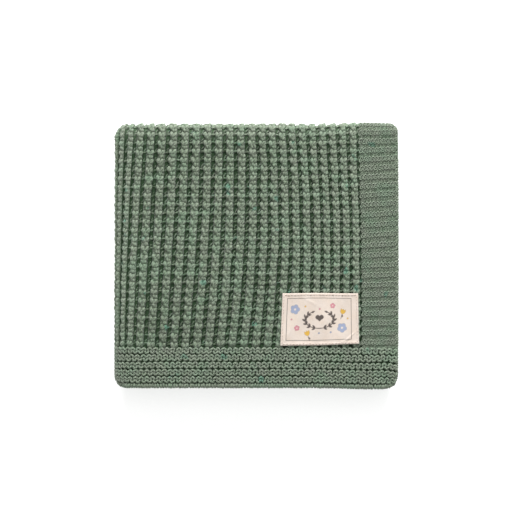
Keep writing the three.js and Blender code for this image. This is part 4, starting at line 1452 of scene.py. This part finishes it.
# Its grid: places along each stretch of the path, cells around each turn of the section, and shares of
# each layer, closer under the front border
PATH_PLACES = (24, 14, 24, 22, 70)
TURN_CELLS = 8
LAYER_GRID = np.concatenate((np.linspace(0, 0.2, 15), np.linspace(0.2, 1, 22)[1:]))


def sheet_runs():
    """Lengths along the section at which the sheet has its places: layers and turns in order."""
    stops = SECTION_STARTS + np.array([SHEET_INSET, 0, 0, 0, 0, -SHEET_INSET])
    turn = np.linspace(0, 1, TURN_CELLS + 1)[1:-1]
    shares = (LAYER_GRID, turn, LAYER_GRID, turn, LAYER_GRID)
    return np.concatenate([a + (b - a) * share for a, b, share in zip(stops[:-1], stops[1:], shares)])


def ground_sheet():
    """The thin cloth behind all stitches, as one closed sheet: its section runs out on one side and back
    on the other, is carried along the path, and is closed at both ends."""
    stretches = zip(STRETCH_STARTS[:-1], STRETCH_STARTS[1:], PATH_PLACES)
    s = np.unique(np.concatenate([np.linspace(*stretch) for stretch in stretches]))
    s = np.minimum(s, PATH_END - SHEET_END)
    runs = sheet_runs()
    top, under = section(runs, SHEET_TOP), section(runs, SHEET_UNDER)
    y, h = (np.concatenate((a, b[::-1])) for a, b in zip(top, under))
    distance = np.interp(s, STRETCH_STARTS, OUTER_AT_STARTS)
    rise, tone = ground_rise(distance[:, None], np.minimum(y - FRONT, FLAT_END + TURN_TONE_END)[None])
    # Only the face of the outer layer and of the back turn rises
    outer = np.arange(len(y)) < len(LAYER_GRID) + TURN_CELLS - 1
    places = lay(s[:, None], y[None], h[None] + rise * outer)
    rows, columns = places.shape[:2]
    half = columns // 2
    caps = []
    for row, turned_over in ((0, False), (rows - 1, True)):
        ring = row * columns + np.arange(columns)
        other = ring[::-1]
        strip = np.stack((ring[: half - 1], ring[1:half], other[1:half], other[: half - 1]), -1)
        caps.append(strip[:, ::-1] if turned_over else strip)
    quads = np.concatenate((loop_grid(rows, columns), *caps))
    return places.reshape(-1, 3), quads, (tone * outer).ravel()


class BLANKET_OT_ground(bpy.types.Operator):
    """The thin folded sheet that all the stitches lie on"""

    bl_idname = "blanket.ground"
    bl_label = "Folded ground cloth"

    def execute(self, context):
        places, quads, tone = ground_sheet()
        sides = np.full(len(quads), 4)
        piece = new_piece("ground_cloth", places, quads.ravel(), sides, "cotton_knit_ground", tone=tone)
        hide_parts("blanket")
        return {"FINISHED"}


class BLANKET_OT_ribs(bpy.types.Operator):
    """The ribs of the field, on the top, around both folds and underneath, with the valleys between them"""

    bl_idname = "blanket.ribs"
    bl_label = "Ribbed field"

    def execute(self, context):
        rib_stitches("ribs_top_right", np.arange(LEFT_HALF_RIB), 1)
        rib_stitches("ribs_top_left", np.arange(LEFT_HALF_RIB, LEFT_FOLD_RIB), 2)
        rib_stitches("ribs_left_fold", np.arange(LEFT_FOLD_RIB, UNDER_RIB), 3)
        rib_stitches("ribs_underside", np.arange(UNDER_RIB, RIGHT_FOLD_RIB), 4, (6, 5), coarse=True)
        rib_stitches("ribs_right_fold", np.arange(RIGHT_FOLD_RIB, TUCKED_RIB), 5, (6, 6))
        purl_valleys("purls_top", np.arange(UNDER_RIB), 6)
        purl_valleys("purls_right_fold", np.arange(RIGHT_FOLD_RIB, TUCKED_RIB + 1), 7)
        # On the back turn, the ribs that are hidden further in, and the valleys of these and of the underside
        hidden = np.arange(TUCKED_RIB, TUCKED_RIB_END)
        valleys = np.concatenate((np.arange(UNDER_RIB + 1, RIGHT_FOLD_RIB), hidden[1:]))
        rib_stitches("ribs_back_turn", hidden, 9, (6, 6), BACK_TURN_UNIT)
        purl_valleys("purls_back_turn", valleys, 10, BACK_TURN_UNIT)
        rib_cores("rib_cores", np.r_[0:UNDER_RIB, RIGHT_FOLD_RIB:TUCKED_RIB], 8)
        return {"FINISHED"}


class BLANKET_OT_borders(bpy.types.Operator):
    """The ridged rows of the bottom border and of the right border"""

    bl_idname = "blanket.borders"
    bl_label = "Ridged borders"

    def execute(self, context):
        border_ridges("front_border_top", (0, LEFT_FOLD_OUTER[1]), 11)
        border_ridges("front_border_under", (LEFT_FOLD_OUTER[1], RIGHT_FOLD_OUTER[1]), 12, 5)
        side_ridges("side_border", 13)
        return {"FINISHED"}


# Strands in a stitch over the front and back edge and over the right one, and their tones: painted light,
# paler on the front edge and the right one
EDGE_STRANDS, SELVEDGE_STRANDS = 3, 2
EDGE_PAINTED_LIGHT, SELVEDGE_PAINTED_LIGHT = 2.0, 3.5
# How far from the ends of an edge its strands stay (mm)
EDGE_MARGIN = 0.4
# What shows of the front turn: its ribs, and in mm where along it their stitches start, and from where to
# where along the cloth its ridges go
FRONT_TURN_RIBS, FRONT_TURN_STARTS, FRONT_TURN_RIDGES = np.arange(1, 76), (-4.0, 5.2, 14.4), (3, 40)


class BLANKET_OT_edges(bpy.types.Operator):
    """The strands around the free edges, and the knitting on the turns seen from the sides"""

    bl_idname = "blanket.edges"
    bl_label = "Free edges and turns"

    def execute(self, context):
        all_round = (EDGE_MARGIN, OUTER_AT_STARTS[0] - EDGE_MARGIN)
        section_run = (EDGE_MARGIN, SECTION_STARTS[-1] - EDGE_MARGIN)
        cast_on = (EDGE_BAR, all_round, in_mm("edge_stitch"), EDGE_STRANDS)
        selvedge = (SELVEDGE_BAR, section_run, in_mm("selvedge_stitch"), SELVEDGE_STRANDS)
        edge_bars("front_edge_strands", front_edge, *cast_on, 21, EDGE_PAINTED_LIGHT)
        edge_bars("back_edge_strands", back_edge, *cast_on, 22, sides=5)
        edge_bars("right_selvedge", right_selvedge, *selvedge, 23, SELVEDGE_PAINTED_LIGHT)
        turn_ribs("ribs_front_turn", reverse_turn, FRONT_TURN_RIBS, FRONT_TURN_STARTS, FRONT, 24)
        turn_ridges("ridges_front_turn", reverse_turn, FRONT_TURN_RIDGES, TURN_LENGTH, 25)

        return {"FINISHED"}


class BLANKET_OT_label(bpy.types.Operator):
    """The cloth label with its printed design and the stitches that hold it"""

    bl_idname = "blanket.label"
    bl_label = "Sewn-on label"

    def execute(self, context):
        cloth = label_cloth("label_cloth")
        thread = label_stitches("label_stitches", 31)
        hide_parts("label")
        return {"FINISHED"}


# ---- stage (m, W) ----

# Half the side of the floor, its shade and how strongly it glows, and the light from all around
FLOOR_HALF = 6.0
FLOOR_SHADE, FLOOR_GLOW = 0.8, 0.69
WORLD_LIGHT = 0.29
WINDOW_PLACE, WINDOW_SIZE = (0.1, 2.5, 1.4), (2.0, 0.9)
CEILING_PLACE, CEILING_SIZE = (0.3, 0.6, 2.4), (1.4, 1.4)
# How much the camera sees at the level of the blanket's top side, and how far it is beside the vertical
VIEW_WIDTH, VIEW_LEVEL = 0.5403, 0.052
CAMERA_ASIDE = -0.0001
SENSOR = 36
CLIP_END = 50


def add_floor(scene):
    """A plain square of matt white paper, which glows a little so that it stays pale everywhere."""
    mesh = bpy.data.meshes.new("floor")
    corners = FLOOR_HALF * np.array([(-1, -1, 0), (1, -1, 0), (1, 1, 0), (-1, 1, 0)])
    mesh.from_pydata(corners.tolist(), [], [(0, 1, 2, 3)])
    floor = bpy.data.objects.new("floor", mesh)
    scene.collection.objects.link(floor)
    material, tree = new_material("matt_white_paper")
    paper = {"Base Color": (FLOOR_SHADE, FLOOR_SHADE, FLOOR_SHADE, 1), "Roughness": 0.9, "IOR": 1.45}
    glow = {"Emission Color": (1, 1, 1, 1), "Emission Strength": FLOOR_GLOW}
    shader = add_node(tree, "ShaderNodeBsdfPrincipled", {**paper, **glow})
    add_node(tree, "ShaderNodeOutputMaterial", {"Surface": shader[0]})
    mesh.materials.append(material)


def add_world(scene):
    scene.world = bpy.data.worlds.new("studio")
    scene.world.use_nodes = True
    background = scene.world.node_tree.nodes["Background"].inputs
    background["Color"].default_value = (1, 1, 1, 1)
    background["Strength"].default_value = WORLD_LIGHT


def add_softbox(scene, name, place, size, power):
    """A rectangular lamp that faces the middle of the floor."""
    light = bpy.data.lights.new(name, "AREA")
    light.shape = "RECTANGLE"
    light.size, light.size_y = size
    light.energy = power
    lamp = bpy.data.objects.new(name, light)
    scene.collection.objects.link(lamp)
    lamp.location = place
    lamp.rotation_euler = (-lamp.location).to_track_quat("-Z", "Y").to_euler()


def add_camera(scene, height):
    """A camera straight above, whose lens shows the view's width at the blanket's top side."""
    camera = bpy.data.cameras.new("camera")
    camera.sensor_width = SENSOR
    camera.lens = SENSOR * (height - VIEW_LEVEL) / VIEW_WIDTH
    camera.clip_end = CLIP_END
    eye = bpy.data.objects.new("camera", camera)
    scene.collection.objects.link(eye)
    eye.location = (0.0, CAMERA_ASIDE, height)
    scene.camera = eye


class BLANKET_OT_stage(bpy.types.Operator):
    """The pale floor, soft lights and the camera straight above"""

    bl_idname = "blanket.stage"
    bl_label = "Floor, lights and camera"

    def execute(self, context):
        scene = context.scene
        scene.view_settings.view_transform = "Standard"
        add_floor(scene)
        add_world(scene)
        add_softbox(scene, "window", WINDOW_PLACE, WINDOW_SIZE, sizes().window_power)
        add_softbox(scene, "ceiling", CEILING_PLACE, CEILING_SIZE, sizes().ceiling_power)
        add_camera(scene, sizes().camera_height)
        return {"FINISHED"}


# ---- what a user may change ----


def length_property(name, description, value):
    """A length, given in mm and kept in metres."""
    return bpy.props.FloatProperty(
        name=name, description=description, default=value * MM, min=0, unit="LENGTH", precision=5
    )


def power_property(name, value):
    return bpy.props.FloatProperty(
        name=name, description="Power of this lamp", default=value, min=0, unit="POWER"
    )


class BlanketSizes(bpy.types.PropertyGroup):
    """Sizes of the stitches, of the label and of the stage"""

    yarn_fullness: bpy.props.FloatProperty(
        name="Yarn fullness",
        description="How thick the yarn is, as a share of its usual thickness",
        default=1.0,
        min=0.5,
        max=1.5,
        subtype="FACTOR",
    )
    rib_unit: length_property("Rib unit", "Length of a wide and a narrow rib stitch together", 9.22)
    border_stitch: length_property("Border stitch", "Width of a stitch of the bottom border", 6.0)
    edge_stitch: length_property("Edge stitch", "Width of a stitch over the front or back edge", 8.6)
    selvedge_stitch: length_property("Selvedge stitch", "Width of a stitch over the right free end", 5.2)
    side_stitches: bpy.props.IntProperty(
        name="Side stitches", description="Stitches across the right border", default=10, min=4, max=20
    )
    label_thickness: length_property("Label thickness", "Thickness of the label's cloth", 0.5)
    hem_stitch: length_property("Hem stitch", "From one stitch of the label's hem to the next", 3.3)
    window_power: power_property("Window", 106)
    ceiling_power: power_property("Ceiling", 10)
    camera_height: length_property("Camera height", "Height of the camera over the floor", 3000)


def colour_property(name, description, value):
    return bpy.props.FloatVectorProperty(
        name=name, description=description, subtype="COLOR", size=4, min=0, max=1, default=linear(value)
    )


class BlanketColours(bpy.types.PropertyGroup):
    """Colours of the yarn, label and print"""

    yarn: colour_property("Yarn", "Lit side of the cotton yarn", "#909e89")
    # Painted shade: the dark end of the yarn's brightness, between the plies, in the valleys and cores, and
    # of its mottle
    yarn_mottle_and_painted_shade: colour_property("Yarn shade", "Between the plies of the yarn", "#45593f")
    yarn_grey: colour_property("Greyer yarn", "Where the dye took less", "#95978e")
    yarn_green: colour_property("Greener yarn", "Where the dye took more", "#7d9f82")
    fleck: colour_property("Fleck", "Rare teal fibres", "#3f8f77")
    # Painted shade: the ground is dark to stand in for the shade between the stitches, and the raised ground
    # is a paler painted shade
    ground: colour_property("Ground", "Inside of the knit", "#354a33")
    ground_raised: colour_property("Raised ground", "Inside of the knit under the borders", "#5f765b")
    label: colour_property("Label", "Bleached cotton of the label", "#f8eade")
    thread: colour_property("Thread", "Thread that holds the label", "#f0dccf")
    print_dark: colour_property("Dark print", "Wreath, heart and frame line", "#463c3c")
    print_pink: colour_property("Pink print", "Pink flowers", "#dc8c9b")
    print_blue: colour_property("Blue print", "Blue flowers", "#a0aecd")
    print_yellow: colour_property("Yellow print", "Yellow tulips", "#ebb93c")


class BLANKET_PT_panel(bpy.types.Panel):
    """Lists the pieces of the blanket"""

    bl_idname = "BLANKET_PT_panel"
    bl_label = "Knitted blanket"
    bl_space_type = "VIEW_3D"
    bl_region_type = "UI"
    bl_category = "Blanket"

    def draw(self, context):
        for step in STEPS:
            self.layout.operator(step.bl_idname)
        for group in (sizes(), colours()):
            for name in group.__annotations__:
                self.layout.prop(group, name)


STEPS = (
    BLANKET_OT_ground,
    BLANKET_OT_ribs,
    BLANKET_OT_borders,
    BLANKET_OT_edges,
    BLANKET_OT_label,
    BLANKET_OT_stage,
)
CLASSES = (BlanketSizes, BlanketColours, *STEPS, BLANKET_PT_panel)


def register():
    for one in CLASSES:
        bpy.utils.register_class(one)
    bpy.types.Scene.blanket_sizes = bpy.props.PointerProperty(type=BlanketSizes)
    bpy.types.Scene.blanket_colours = bpy.props.PointerProperty(type=BlanketColours)


def unregister():
    del bpy.types.Scene.blanket_colours
    del bpy.types.Scene.blanket_sizes
    for one in reversed(CLASSES):
        bpy.utils.unregister_class(one)


def main():
    register()
    for step in STEPS:
        group, name = step.bl_idname.split(".")
        getattr(getattr(bpy.ops, group), name)()


if __name__ == "__main__":
    main()
